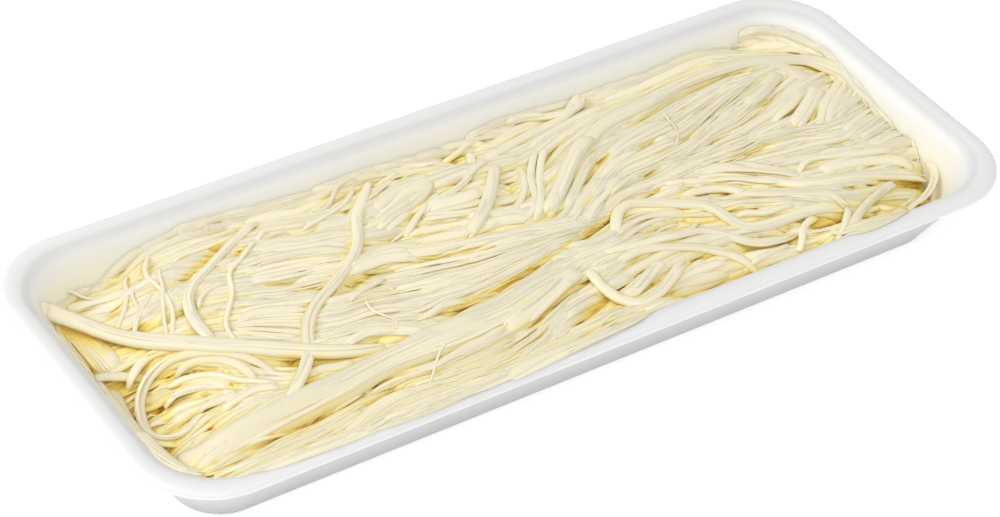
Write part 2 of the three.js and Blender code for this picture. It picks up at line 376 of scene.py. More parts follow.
# The far side and the left end lie smoother than the rest: where that starts, and over how much it grows
CALM_FAR_START = 12 * MM
CALM_FAR_SPAN = 20 * MM
CALM_LEFT_START = -70 * MM
CALM_LEFT_SPAN = 25 * MM

calm_far = (plan_y - CALM_FAR_START) / CALM_FAR_SPAN
calm_left = (CALM_LEFT_START - plan_x) / CALM_LEFT_SPAN
calm = np.clip(np.maximum(calm_far, calm_left), 0, 1)

# How steeply a strand may lie across its length: flat in the heap, but flush where it clings
WALL_TILT = 1.5
HEAP_TILT = 0.5
CLINGING_DEPTH = 2 * MM
FREE_DEPTH = 6 * MM

above_wall = (tray_top > FOAM + MM) & in_heap
wall_tilt = np.interp(heap_top - tray_top, [CLINGING_DEPTH, FREE_DEPTH], [WALL_TILT, HEAP_TILT])
steepest_tilt = np.where(above_wall, wall_tilt, HEAP_TILT)

# Heights at which lines of sight are tried, in millimetres, and how finely a route is curved
SIGHT_TOP = 30
SIGHT_BOTTOM = 3
SIGHT_STEP = 0.25
CURVE_STEPS = 16


def cell_of(x, y):
    """Row and column of the cells under some places."""
    i = np.clip(np.rint((x + tray_half.x) / CELL).astype(int), 0, cells_x - 1)
    j = np.clip(np.rint((y + tray_half.y) / CELL).astype(int), 0, cells_y - 1)
    return i, j


def sight_at_height(places, z):
    """Where the lines of sight through places in the frame reach the given heights."""
    across = (places[:, 0] - FRAME_WIDTH / 2) / FRAME_WIDTH * SENSOR_WIDTH / FOCAL_LENGTH
    above = (FRAME_HEIGHT / 2 - places[:, 1]) / FRAME_WIDTH * SENSOR_WIDTH / FOCAL_LENGTH
    sideways = across[:, None] * np.array(frame_right)
    lines = np.array(looking) + sideways + above[:, None] * np.array(frame_up)
    reach = (z - eye.z) / lines[:, 2]
    return np.array(eye)[:2] + lines[:, :2] * reach[:, None]


def seen_on(surface, places):
    """Height at which the lines of sight through places in the frame first meet a surface."""
    height = np.zeros(len(places))
    for z in np.arange(SIGHT_TOP, SIGHT_BOTTOM, -SIGHT_STEP) * MM:
        plan = sight_at_height(places, np.full(len(places), z))
        meets = (height == 0) & (surface[cell_of(plan[:, 0], plan[:, 1])] >= z)
        height[meets] = z
    return height


def even_route(points, count):
    """A smooth curve through given points, cut into evenly spaced ones."""
    knots = np.array(points, float)
    ends = np.vstack([2 * knots[0] - knots[1], knots, 2 * knots[-1] - knots[-2]])
    fine = []
    for a, b, c, d in zip(ends, ends[1:], ends[2:], ends[3:]):
        t = np.linspace(0, 1, CURVE_STEPS, endpoint=False)[:, None]
        bend = (2 * a - 5 * b + 4 * c - d) * t ** 2 + (3 * b - a - 3 * c + d) * t ** 3
        fine.append(0.5 * (2 * b + (c - a) * t + bend))
    fine = np.vstack(fine + [knots[-1:]])
    length = np.concatenate([[0], np.cumsum(np.linalg.norm(np.diff(fine, axis=0), axis=1))])
    stops = np.linspace(0, length[-1], count)
    return np.column_stack([np.interp(stops, length, fine[:, k]) for k in range(fine.shape[1])])


# Gaps between the bundles: (half width in mm, depth in mm, places along it in the frame)
GAPS = [
    (0.86, 4.0, [(427, 330), (463, 311), (499, 292), (529, 275), (551, 258), (573, 243)]),
    (0.95, 4.0, [(584, 240), (596, 232), (606, 226), (611, 219)]),
    (0.75, 3.4, [(230, 468), (256, 454), (280, 439), (303, 428), (318, 420), (330, 412)]),
    (0.6, 2.2, [(330, 411), (342, 404), (352, 398), (360, 393)]),
    (0.5, 1.5, [(238, 447), (256, 437), (275, 430), (292, 425), (306, 421)]),
    (0.65, 2.7, [(366, 391), (376, 385), (388, 379), (400, 375), (412, 372)]),
    (0.9, 3.6, [(368, 407), (376, 402), (386, 397), (396, 393)]),
    (0.55, 2.2, [(304, 450), (322, 438), (342, 427), (360, 414), (366, 409)]),
    (0.5, 1.8, [(378, 425), (392, 420), (408, 415)]),
    (0.94, 3.6, [(408, 368), (424, 364), (436, 357)]),
    (0.72, 2.9, [(440, 359), (460, 346), (483, 331)]),
    (0.86, 2.7, [(368, 345), (388, 346), (413, 338)]),
    (0.72, 2.9, [(471, 314), (494, 308)]),
    (0.86, 3.2, [(534, 326), (552, 310), (566, 296), (580, 288)]),
    (1.4, 3.4, [(580, 287), (595, 283)]),
    (1.5, 3.4, [(579, 325), (596, 312), (610, 300)]),
    (0.72, 2.3, [(585, 335), (620, 318), (650, 309)]),
    (0.79, 3.2, [(622, 275), (642, 258)]),
    (0.79, 3.2, [(619, 290), (655, 262)]),
    (0.79, 2.7, [(644, 290), (654, 285)]),
    (0.86, 3.2, [(690, 266), (700, 256), (711, 260)]),
    (0.94, 3.1, [(702, 222), (712, 224)]),
    (0.79, 2.7, [(666, 231), (690, 227)]),
    (0.79, 3.1, [(646, 240), (656, 229), (680, 221)]),
    (1.5, 3.6, [(697, 197), (709, 192)]),
    (1.8, 4.0, [(716, 202), (722, 195), (731, 194)]),
    (0.79, 2.9, [(745, 213), (757, 208), (770, 207)]),
    (0.86, 3.1, [(742, 222), (762, 219)]),
    (0.58, 3.1, [(790, 229), (803, 221), (817, 213)]),
    (0.72, 2.3, [(745, 234), (762, 233)]),
    (0.79, 2.5, [(775, 235), (788, 231)]),
    (1.9, 3.2, [(742, 252), (765, 250), (790, 247)]),
    (1.8, 4.0, [(812, 230), (828, 226), (843, 220)]),
    (1.6, 4.0, [(866, 219), (880, 212), (893, 211)]),
    (0.79, 2.9, [(868, 184), (893, 181)]),
    (1.4, 3.2, [(898, 188), (925, 188)]),
    (0.94, 3.1, [(846, 189), (858, 187)]),
    (0.79, 3.2, [(803, 172), (812, 167)]),
    (0.58, 2.2, [(812, 180), (835, 175), (860, 172)]),
    (0.86, 3.4, [(797, 127), (812, 120), (819, 108)]),
    (0.79, 2.9, [(783, 119), (797, 105)]),
    (0.65, 2.3, [(760, 108), (783, 94)]),
    (0.72, 3.1, [(746, 155), (758, 150), (769, 145)]),
    (0.72, 2.7, [(708, 145), (728, 136)]),
    (0.72, 2.3, [(692, 155), (704, 148)]),
    (0.79, 2.3, [(630, 126), (650, 117), (668, 104), (690, 92), (712, 82)]),
    (0.72, 2.2, [(712, 82), (730, 76), (760, 69)]),
    (0.58, 2.2, [(684, 140), (700, 126), (712, 112)]),
    (0.58, 2.3, [(643, 178), (660, 168)]),
    (0.72, 2.3, [(637, 150), (655, 142)]),
    (0.72, 2.5, [(598, 165), (608, 155)]),
    (0.72, 2.9, [(647, 199), (660, 187)]),
    (0.79, 3.1, [(677, 195), (692, 182)]),
    (0.65, 2.7, [(710, 166), (728, 162), (745, 157)]),
    (0.65, 2.5, [(742, 187), (770, 189), (797, 186)]),
    (0.65, 2.6, [(820, 154), (847, 140)]),
    (0.65, 2.6, [(585, 207), (592, 197)]),
    (0.65, 2.7, [(602, 200), (610, 191)]),
    (0.94, 3.2, [(498, 209), (511, 206)]),
    (1.6, 2.7, [(508, 186), (510, 197)]),
    (0.79, 3.1, [(544, 209), (547, 196)]),
    (0.72, 2.9, [(512, 164), (520, 157)]),
    (0.72, 2.3, [(505, 156), (532, 150)]),
    (0.72, 2.5, [(552, 154), (562, 140)]),
    (0.79, 2.7, [(480, 148), (500, 143)]),
    (1.6, 3.8, [(447, 163), (462, 164)]),
    (0.94, 2.7, [(484, 188), (481, 198)]),
    (0.79, 2.5, [(448, 192), (466, 182)]),
    (0.72, 2.3, [(400, 178), (415, 176)]),
    (0.58, 2.3, [(373, 200), (386, 188)]),
    (0.94, 3.1, [(344, 214), (355, 204)]),
    (0.58, 2.5, [(395, 213), (409, 208)]),
    (0.79, 2.7, [(386, 243), (402, 233), (416, 215)]),
    (0.58, 2.9, [(427, 236), (450, 229)]),
    (0.94, 2.2, [(430, 226), (450, 221), (475, 216)]),
    (0.72, 2.5, [(421, 262), (450, 256), (488, 250)]),
    (0.79, 2.9, [(365, 278), (384, 272)]),
    (1.4, 2.9, [(344, 293), (358, 285)]),
    (0.65, 2.9, [(375, 294), (387, 290)]),
    (0.79, 2.9, [(297, 292), (312, 289), (332, 289)]),
    (0.58, 2.2, [(264, 285), (296, 283)]),
    (0.58, 2.0, [(268, 236), (303, 233), (315, 226)]),
    (0.94, 3.1, [(232, 258), (243, 246)]),
    (2.1, 3.6, [(182, 283), (200, 268), (216, 250)]),
    (1.5, 2.7, [(195, 237), (220, 232)]),
    (0.94, 2.9, [(168, 288), (176, 282)]),
    (1.4, 2.7, [(216, 268), (224, 277)]),
    (0.72, 2.9, [(206, 317), (215, 312)]),
    (1.6, 3.1, [(178, 320), (190, 312)]),
    (0.94, 3.1, [(138, 330), (160, 325)]),
    (1.2, 2.2, [(110, 322), (116, 306)]),
    (0.79, 3.1, [(143, 294), (152, 288)]),
    (0.79, 2.7, [(133, 286), (140, 279)]),
    (1.8, 2.3, [(95, 290), (110, 286)]),
    (1.8, 2.3, [(60, 301), (75, 305)]),
    (0.86, 2.9, [(285, 363), (298, 365)]),
    (0.79, 2.9, [(312, 366), (330, 367)]),
    (0.79, 2.7, [(306, 385), (312, 378)]),
    (0.79, 2.7, [(197, 402), (215, 392), (234, 386)]),
    (0.72, 2.2, [(165, 378), (205, 369), (232, 371)]),
    (1.0, 3.4, [(160, 410), (164, 418), (168, 426)]),
    (0.94, 3.1, [(205, 432), (215, 428)]),
]

GAP_REACH = 5 * MM
GAP_NARROWNESS = 0.68
# A wide gap deepens in steps away from the eye, so that its bottom shows and not just its far side
WIDE_GAP = 1.4
WIDE_GAP_STEPS = (0.25, 0.45, 0.65, 0.8)
WIDE_GAP_LEAN = 0.8
NARROW_GAP_LEAN = 0.2

away = np.array(looking)[:2] / np.linalg.norm(np.array(looking)[:2])


def trace_gaps(surface):
    """How deep the gaps go under each cell of the plan, where they are seen on a surface."""
    depth = np.zeros((cells_x, cells_y))
    for half_width_mm, depth_mm, places in GAPS:
        route = even_route(places, int(np.hypot(*np.diff(places, axis=0).T).sum()))
        height = seen_on(surface, route)
        mouth = sight_at_height(route, height)[height > 0]
        for share in WIDE_GAP_STEPS if half_width_mm >= WIDE_GAP else (1.0,):
            lean = WIDE_GAP_LEAN if half_width_mm >= WIDE_GAP else NARROW_GAP_LEAN
            line = mouth + away * lean * share * depth_mm * MM / math.tan(VIEW_ELEVATION)
            for x, y in line:
                first_i, first_j = cell_of(np.array(x) - GAP_REACH, np.array(y) - GAP_REACH)
                last_i, last_j = cell_of(np.array(x) + GAP_REACH, np.array(y) + GAP_REACH)
                near = (slice(first_i, last_i), slice(first_j, last_j))
                off = np.hypot(plan_x[near] - x, plan_y[near] - y) / (GAP_NARROWNESS * half_width_mm * MM)
                depth[near] = np.maximum(depth[near], share * depth_mm * MM * np.exp(-(off ** 2)))
    return depth


# How far the tops of the strands lie under the heap's outline on average
PILE_DROP = 2 * MM
BED_DEPTH = 2.6 * MM
BED_SIDE_GAP = 1.2 * MM
BED_THINNEST = 0.8 * MM
TOUCHING = 0.01 * MM

gap_depth = trace_gaps(np.where(in_heap, heap_top - PILE_DROP, 0))
bed_top = np.maximum(heap_top - BED_DEPTH - gap_depth, heap_underside + BED_THINNEST)
bed_top = np.maximum(bed_top, FOAM + BED_THINNEST)

bed_shape = bmesh.new()
bed_shape.from_mesh(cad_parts["cheese_strands"].data)
bmesh.ops.remove_doubles(bed_shape, verts=bed_shape.verts, dist=TOUCHING)
bmesh.ops.subdivide_edges(bed_shape, edges=bed_shape.edges, cuts=1, use_grid_fill=True)
heap_low, heap_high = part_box("cheese_strands")
shrink_x = 1 - 2 * BED_SIDE_GAP / (heap_high.x - heap_low.x)
shrink_y = 1 - 2 * BED_SIDE_GAP / (heap_high.y - heap_low.y)
for vertex in bed_shape.verts:
    vertex.co.x *= shrink_x
    vertex.co.y *= shrink_y
    i, j = cell_of(np.array(vertex.co.x), np.array(vertex.co.y))
    vertex.co.z = min(vertex.co.z, bed_top[i, j])
for face in bed_shape.faces:
    face.smooth = True
bed_mesh = bpy.data.meshes.new("cheese_bed")
bed_shape.to_mesh(bed_mesh)
bed_shape.free()

# The cheese is moist and lets light in a little way. It is ivory where it lies open; where the strands hem
# it in, a painted golden shade darkens it, standing in for the shade and warm bounced light in the
# crevices. Fine fibres run in its skin.
CHEESE_ROUGHNESS = 0.5
CHEESE_LIGHT_SHARE = 0.15
CHEESE_LIGHT_COLOUR = (1.0, 0.9, 0.6)
CHEESE_LIGHT_DEPTH = 0.6 * MM
# The colour from the open tops to the painted shade of the deepest gaps, and where along that way each one
# lies
LEAST_PAINTED_SHADE = 0.12
FULL_PAINTED_SHADE = 0.72
OPEN_COLOUR = (0.86, 0.79, 0.585, 1)
SHALLOW_SHADE_COLOUR = (0.88, 0.78, 0.44, 1)
SHALLOW_SHADE_PLACE = 0.22
GOLDEN_SHADE_COLOUR = (0.9, 0.72, 0.23, 1)
GOLDEN_SHADE_PLACE = 0.5
DEEPEST_SHADE_COLOUR = (0.74, 0.49, 0.05, 1)
# Fine fibres across and along a strand, per metre, and how much they streak the colour
FIBRES_PER_METRE = (1700, 1700, 70)
FIBRE_DETAIL = 3
STREAK_GAIN = 0.24
STREAK_START = -0.12
DULLEST_TONE = 0.93
BRIGHTEST_TONE = 1.05
FIBRE_HEIGHT = 0.2 * MM

cheese = bpy.data.materials.new("pulled ivory cheese")
cheese.use_nodes = True
cheese_nodes = cheese.node_tree.nodes
cheese_links = cheese.node_tree.links
cheese_skin = cheese_nodes["Principled BSDF"]
cheese_skin.inputs["Roughness"].default_value = CHEESE_ROUGHNESS
cheese_skin.inputs["Subsurface Weight"].default_value = CHEESE_LIGHT_SHARE
cheese_skin.inputs["Subsurface Radius"].default_value = CHEESE_LIGHT_COLOUR
cheese_skin.inputs["Subsurface Scale"].default_value = CHEESE_LIGHT_DEPTH

# The painted shade stored on each point picks its colour along this ramp, from ivory to dark gold
painted_shade_read = read_stored(cheese_nodes, "painted_shade")
grain_read = read_stored(cheese_nodes, "grain")
tone_read = read_stored(cheese_nodes, "tone")
relief_read = read_stored(cheese_nodes, "relief")
painted_shade_share = cheese_nodes.new("ShaderNodeMapRange")
painted_shade_share.inputs["From Min"].default_value = LEAST_PAINTED_SHADE
painted_shade_share.inputs["From Max"].default_value = FULL_PAINTED_SHADE
cheese_links.new(painted_shade_read.outputs["Fac"], painted_shade_share.inputs["Value"])
painted_shade_colours = cheese_nodes.new("ShaderNodeValToRGB")
painted_shade_colours.color_ramp.elements[0].position = 0
painted_shade_colours.color_ramp.elements[0].color = OPEN_COLOUR
painted_shade_colours.color_ramp.elements[1].position = 1
painted_shade_colours.color_ramp.elements[1].color = DEEPEST_SHADE_COLOUR
shallow_shade = painted_shade_colours.color_ramp.elements.new(SHALLOW_SHADE_PLACE)
shallow_shade.color = SHALLOW_SHADE_COLOUR
golden_shade = painted_shade_colours.color_ramp.elements.new(GOLDEN_SHADE_PLACE)
golden_shade.color = GOLDEN_SHADE_COLOUR
fibre_scale = cheese_nodes.new("ShaderNodeMapping")
fibre_scale.inputs["Scale"].default_value = FIBRES_PER_METRE
cheese_links.new(grain_read.outputs["Vector"], fibre_scale.inputs["Vector"])
fibre_lines = cheese_nodes.new("ShaderNodeTexNoise")
fibre_lines.inputs["Scale"].default_value = 1
fibre_lines.inputs["Detail"].default_value = FIBRE_DETAIL
cheese_links.new(fibre_scale.outputs["Vector"], fibre_lines.inputs["Vector"])

streaks = cheese_nodes.new("ShaderNodeMath")
streaks.operation = "MULTIPLY_ADD"
streaks.inputs[1].default_value = STREAK_GAIN
streaks.inputs[2].default_value = STREAK_START
cheese_links.new(fibre_lines.outputs["Fac"], streaks.inputs[0])
streaked = cheese_nodes.new("ShaderNodeMath")
streaked.operation = "ADD"
cheese_links.new(painted_shade_share.outputs["Result"], streaked.inputs[0])
cheese_links.new(streaks.outputs["Value"], streaked.inputs[1])
cheese_links.new(streaked.outputs["Value"], painted_shade_colours.inputs["Fac"])

tone_shift = cheese_nodes.new("ShaderNodeMapRange")
tone_shift.inputs["To Min"].default_value = DULLEST_TONE
tone_shift.inputs["To Max"].default_value = BRIGHTEST_TONE
cheese_links.new(tone_read.outputs["Fac"], tone_shift.inputs["Value"])
toned = cheese_nodes.new("ShaderNodeMix")
toned.data_type = "RGBA"
toned.blend_type = "MULTIPLY"
toned.inputs["Factor"].default_value = 1
cheese_links.new(painted_shade_colours.outputs["Color"], toned.inputs["A"])
cheese_links.new(tone_shift.outputs["Result"], toned.inputs["B"])
cheese_links.new(toned.outputs["Result"], cheese_skin.inputs["Base Color"])

fibre_bump = cheese_nodes.new("ShaderNodeBump")
cheese_links.new(relief_read.outputs["Fac"], fibre_bump.inputs["Strength"])
fibre_bump.inputs["Distance"].default_value = FIBRE_HEIGHT
cheese_links.new(fibre_lines.outputs["Fac"], fibre_bump.inputs["Height"])
cheese_links.new(fibre_bump.outputs["Normal"], cheese_skin.inputs["Normal"])

# The bed has no fibres of its own
bed_mesh.attributes.new("grain", "FLOAT_VECTOR", "POINT")
bed_mesh.attributes.new("tone", "FLOAT", "POINT")
bed_mesh.materials.append(cheese)
bed = bpy.data.objects.new("cheese_bed", bed_mesh)
bpy.context.scene.collection.objects.link(bed)
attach(bed, "root")
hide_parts("cheese_strands")


# ---- Packed strands ----
# The lower strands of the heap, pulled off the curd by hand and dropped in along the tray. They
# fill it to just under the top and show between the strands laid on them.

# The sheets that show on top, as how many strands and their two edges in the frame
COMBED_SHEETS = [
    # far wall, left to right
    (5, [(118, 262), (150, 240), (180, 227), (215, 226)],
     [(125, 285), (150, 262), (178, 250), (215, 238)]),
    (3, [(84, 303), (104, 299), (124, 292)], [(92, 322), (108, 318), (122, 305)]),
    (4, [(200, 226), (230, 214), (270, 200), (310, 186)],
     [(205, 236), (235, 222), (265, 215), (300, 206), (330, 196)]),
    (3, [(252, 222), (275, 216), (300, 212), (325, 200)],
     [(262, 234), (280, 230), (303, 230), (315, 223), (335, 212)]),
    (4, [(325, 184), (345, 172), (385, 163), (430, 158), (455, 154)],
     [(335, 192), (360, 182), (385, 176), (420, 171), (450, 166)]),
    (4, [(575, 94), (600, 86), (630, 76), (660, 66), (690, 52), (715, 46), (740, 42)],
     [(585, 118), (610, 106), (640, 94), (665, 82), (690, 72), (715, 64), (745, 58)]),
    (4, [(745, 42), (770, 40), (800, 42), (822, 50)], [(745, 58), (770, 56), (800, 56), (825, 60)]),
    # left half
    (3, [(262, 240), (280, 236), (303, 236), (330, 231), (355, 229)],
     [(255, 258), (280, 255), (305, 252), (330, 248), (352, 246)]),
    (4, [(252, 263), (275, 257), (300, 252), (325, 249), (345, 249)],
     [(250, 276), (275, 270), (300, 265), (325, 262), (340, 262)]),
    (3, [(252, 277), (280, 272), (305, 266), (340, 260)],
     [(252, 284), (280, 283), (300, 281), (330, 273)]),
    (3, [(256, 288), (285, 287), (305, 281), (335, 273)],
     [(252, 296), (280, 294), (300, 290), (328, 286)]),
    (4, [(248, 299), (280, 298), (300, 294), (325, 292)],
     [(246, 312), (275, 307), (300, 304), (318, 300)]),
    (7, [(238, 318), (255, 311), (275, 307), (303, 304)],
     [(238, 331), (255, 334), (275, 337), (303, 340)]),
    (4, [(315, 226), (335, 221), (353, 216)], [(315, 247), (335, 243), (352, 241)]),
    (4, [(380, 204), (398, 190), (420, 180)], [(380, 238), (400, 222), (418, 206), (432, 190)]),
    (2, [(366, 193), (385, 181), (405, 172), (425, 169)],
     [(372, 199), (388, 186), (405, 178), (420, 174)]),
    (3, [(428, 204), (445, 196), (462, 188), (485, 181)],
     [(424, 214), (445, 212), (470, 208), (482, 203)]),
    (4, [(425, 216), (445, 214), (465, 212), (480, 208)],
     [(425, 234), (440, 230), (460, 222), (478, 217)]),
    (4, [(408, 243), (440, 238), (470, 232), (500, 222), (530, 218)],
     [(398, 260), (430, 257), (465, 249), (500, 243), (530, 236)]),
    (3, [(345, 262), (365, 254), (385, 247), (405, 244)],
     [(350, 276), (370, 268), (390, 262), (415, 260)]),
    (5, [(325, 300), (345, 297), (365, 291), (385, 287)],
     [(320, 318), (345, 314), (370, 306), (395, 301)]),
    (6, [(322, 318), (345, 315), (370, 307), (398, 303)],
     [(318, 342), (345, 338), (365, 328), (390, 322)]),
    (4, [(320, 340), (345, 328), (370, 320), (395, 318), (420, 314)],
     [(322, 346), (345, 345), (360, 338), (380, 333), (400, 332), (428, 331)]),
    # the long fanned sheet over the middle
    (12, [(385, 270), (405, 264), (430, 260), (470, 253), (500, 246), (530, 238), (565, 229), (605, 219)],
     [(400, 324), (425, 320), (445, 309), (470, 300), (500, 285), (525, 269), (550, 251), (582, 236)]),
    (5, [(480, 236), (510, 230), (540, 224), (575, 218), (612, 208)],
     [(480, 252), (510, 244), (540, 238), (575, 231), (605, 222)]),
    # near side
    (3, [(245, 466), (270, 452), (300, 437), (320, 424), (345, 408), (370, 397), (398, 386)],
     [(258, 466), (290, 452), (312, 440), (335, 428), (352, 418), (366, 406), (385, 397)]),
    (3, [(335, 438), (350, 430), (368, 415), (385, 403), (400, 395), (430, 385)],
     [(365, 431), (390, 419), (410, 410), (440, 397)]),
    (8, [(372, 388), (400, 375), (430, 366), (460, 351), (490, 336), (520, 318)],
     [(400, 400), (430, 391), (470, 381), (500, 371), (530, 354)]),
    (3, [(400, 415), (440, 399), (480, 384), (520, 366)],
     [(400, 421), (440, 405), (480, 390), (520, 372)]),
    (4, [(500, 345), (525, 330), (545, 316), (556, 306)],
     [(530, 358), (550, 342), (562, 326), (570, 312)]),
    (4, [(545, 330), (560, 315), (578, 302), (598, 291)],
     [(560, 344), (575, 330), (590, 318), (606, 306)]),
    (4, [(530, 362), (560, 346), (590, 333), (612, 315), (640, 306)],
     [(540, 366), (570, 352), (600, 338), (630, 325), (655, 312)]),
    (4, [(240, 474), (270, 460), (300, 450), (330, 440)],
     [(262, 470), (290, 462), (320, 452), (345, 443)]),
    # right half
    (13, [(600, 162), (620, 141), (640, 128), (665, 117)],
     [(598, 218), (625, 196), (655, 186), (685, 172), (705, 163)]),
    (6, [(668, 112), (690, 99), (715, 86), (740, 78), (757, 72)],
     [(660, 150), (685, 136), (705, 118), (730, 96), (755, 78)]),
    (7, [(640, 166), (665, 152), (690, 140), (710, 118), (735, 97), (757, 78)],
     [(660, 164), (690, 156), (715, 136), (740, 124), (765, 104), (785, 88)]),
    (7, [(700, 152), (722, 138), (745, 127), (770, 112), (790, 96), (806, 80)],
     [(690, 172), (730, 162), (760, 150), (795, 136)]),
    (3, [(770, 110), (785, 98), (800, 84), (815, 76)], [(783, 117), (797, 103), (808, 90), (820, 80)]),
    (4, [(740, 140), (770, 133), (800, 125), (830, 117), (855, 106), (868, 98)],
     [(740, 153), (770, 147), (800, 139), (830, 136), (855, 126), (866, 116)]),
    (5, [(745, 160), (780, 152), (810, 144), (840, 137), (865, 124), (880, 113)],
     [(760, 172), (800, 166), (830, 158), (870, 150), (900, 138)]),
    (6, [(858, 128), (872, 116), (885, 110)], [(860, 153), (885, 147), (915, 135)]),
    (4, [(700, 168), (730, 164), (760, 168), (800, 172)],
     [(700, 184), (730, 186), (760, 187), (800, 187)]),
    (3, [(735, 196), (760, 195), (785, 196), (805, 197)],
     [(722, 210), (745, 204), (770, 203), (800, 203)]),
    (3, [(822, 118), (826, 104), (834, 92), (838, 84)], [(838, 114), (846, 104), (852, 94), (855, 84)]),
    (3, [(876, 196), (895, 189), (925, 190)], [(874, 206), (895, 209), (915, 203)]),
    (3, [(680, 272), (700, 264), (722, 258)], [(676, 294), (700, 287), (724, 277)]),
    (3, [(735, 246), (760, 247), (796, 240)], [(752, 263), (775, 256), (797, 250)]),
    (3, [(583, 243), (596, 240), (612, 232)], [(583, 258), (596, 252), (613, 244)]),
    (4, [(590, 268), (605, 258), (625, 252), (645, 246)],
     [(600, 282), (613, 272), (630, 262), (648, 253)]),
    (3, [(620, 216), (640, 210), (660, 209), (680, 208)],
     [(620, 240), (640, 226), (660, 218), (680, 216)]),
    (4, [(570, 222), (582, 204), (592, 190), (600, 176)],
     [(592, 220), (600, 206), (610, 194), (622, 184)]),
]

# The ones that lap over the near lip or run up the right wall
WALL_SHEETS = [
    # along the near lip
    (4, [(256, 461), (280, 452), (310, 440), (340, 429), (380, 413)],
     [(262, 470), (285, 463), (315, 452), (345, 441), (385, 426)]),
    (4, [(370, 417), (400, 405), (430, 393), (470, 377), (500, 365)],
     [(375, 429), (405, 419), (435, 408), (475, 391), (505, 379)]),
    (4, [(490, 369), (520, 356), (550, 343), (585, 327), (620, 312)],
     [(495, 383), (525, 371), (555, 357), (590, 341), (625, 325)]),
    (3, [(850, 224), (865, 220), (885, 213), (905, 204)],
     [(852, 236), (868, 231), (888, 223), (908, 213)]),
    # up the right wall
    (5, [(842, 108), (854, 97), (864, 88)], [(858, 122), (872, 110), (884, 102)]),
    (6, [(860, 126), (876, 114), (888, 105)], [(880, 144), (900, 134), (914, 127)]),
    (5, [(884, 146), (904, 138), (920, 130)], [(892, 164), (912, 158), (932, 152)]),
    (4, [(892, 168), (912, 163), (932, 158)], [(892, 190), (912, 187), (932, 186)]),
]

# Roundish, flattened and ribbon-like strands: thickness for a width of 1
ROUND, PACKED, COMBED, FLAT, RIBBON = 0.72, 0.4, 0.44, 0.48, 0.28
SECTION_SIDES = {ROUND: 6, PACKED: 6, COMBED: 6, FLAT: 8, RIBBON: 8}

# The lower strands stay this far under the heap's top, have this room beside it, and at least this
# much over what they lie on
BASE_TOP_DEPTH = 1.5 * MM
ROOM_BESIDE_HEAP = 3 * MM
LEAST_ROOM = 0.6 * MM

chance = random.Random(11)
pile = np.where(in_heap, np.maximum(bed_top, np.where(tray_top > FOAM + MM, tray_top, 0)), tray_top)
highest_packed = np.where(in_heap, heap_top - BASE_TOP_DEPTH - gap_depth, tray_top + ROOM_BESIDE_HEAP)
highest_packed = np.maximum(highest_packed, pile + LEAST_ROOM)

POINT_SPACING = 1.5 * MM
# Where across a strand it feels what it rests on, as shares of its half width, and the run of a rise
FEELERS = (-0.75, -0.4, 0, 0.4, 0.75)
RISE_RUN = 2.3
LEAST_HALF_WIDTH = 0.2 * MM
# How far a strand may hang below what holds it up, or stand above the height it is kept to
MOST_SAG = 0.25 * MM
MOST_BULGE = 0.4 * MM
BULGE_SPREAD = 0.7
LEAST_LIFT = 0.3
PRESS_STEP = 0.3 * MM
PRESS_OVERSHOOT = 0.1 * MM
THINNEST_EDGE = 0.05 * MM
# A strand's width wanders by this share, and narrows where it tore off over these shares of its length
UNEVENNESS = 0.14
TORN_TIP = 0.4
TORN_TAPERS = (0.08, 0.22)
TILT_VARIETY = 0.12


def smoothed(values, spread):
    """Values evened out along a strand, with the ends carried on."""
    reach = max(1, int(3 * spread))
    weights = np.exp(-0.5 * (np.arange(-reach, reach + 1) / spread) ** 2)
    padded = np.pad(values, reach, mode="edge")
    return np.convolve(padded, weights / weights.sum(), mode="valid")


def smooth_route(plan, spread):
    """A route seen from above, evened out."""
    return np.column_stack([smoothed(plan[:, 0], spread), smoothed(plan[:, 1], spread)])


def left_of(plan):
    """Unit directions to the left of a route seen from above."""
    ahead = np.gradient(plan, axis=0)
    ahead /= np.maximum(np.linalg.norm(ahead, axis=1), 1e-9)[:, None]
    return np.column_stack([-ahead[:, 1], ahead[:, 0]])


def rest_on_pile(plan, half_widths, thickness, sink, stiffness, ceiling=None):
    """Height and sideways slope of a strand that lies along a route on what is there already."""
    left = left_of(plan)
    spread = stiffness / POINT_SPACING
    offsets = np.outer(FEELERS, half_widths)
    under = np.empty(offsets.shape)
    for row, offset in enumerate(offsets):
        beside = plan + left * offset[:, None]
        under[row] = pile[cell_of(beside[:, 0], beside[:, 1])]
    own_cells = cell_of(plan[:, 0], plan[:, 1])
    run = RISE_RUN * np.maximum(half_widths, LEAST_HALF_WIDTH)
    rise = (under[4] + under[3] - under[1] - under[0]) / run
    tilt_limit = steepest_tilt[own_cells]
    slope = np.clip(smoothed(rise, spread), -tilt_limit, tilt_limit)
    upright = np.sqrt(1 + slope ** 2)
    resting = np.sort(under - slope * offsets, axis=0)[-3:].mean(axis=0)
    support = resting + (thickness / 2 - sink) * upright
    if ceiling is not None:
        support = np.minimum(support, ceiling[own_cells] - thickness / 2)
    height = smoothed(support, spread)
    for _ in range(2):
        height = smoothed(np.maximum(height, support - MOST_SAG), spread)
    if ceiling is not None:
        height = np.minimum(height, ceiling[own_cells] - thickness / 2 + MOST_BULGE)
        height = smoothed(height, BULGE_SPREAD)
    height = np.maximum(height, tray_top[own_cells] + LEAST_LIFT * thickness)
    return height, slope


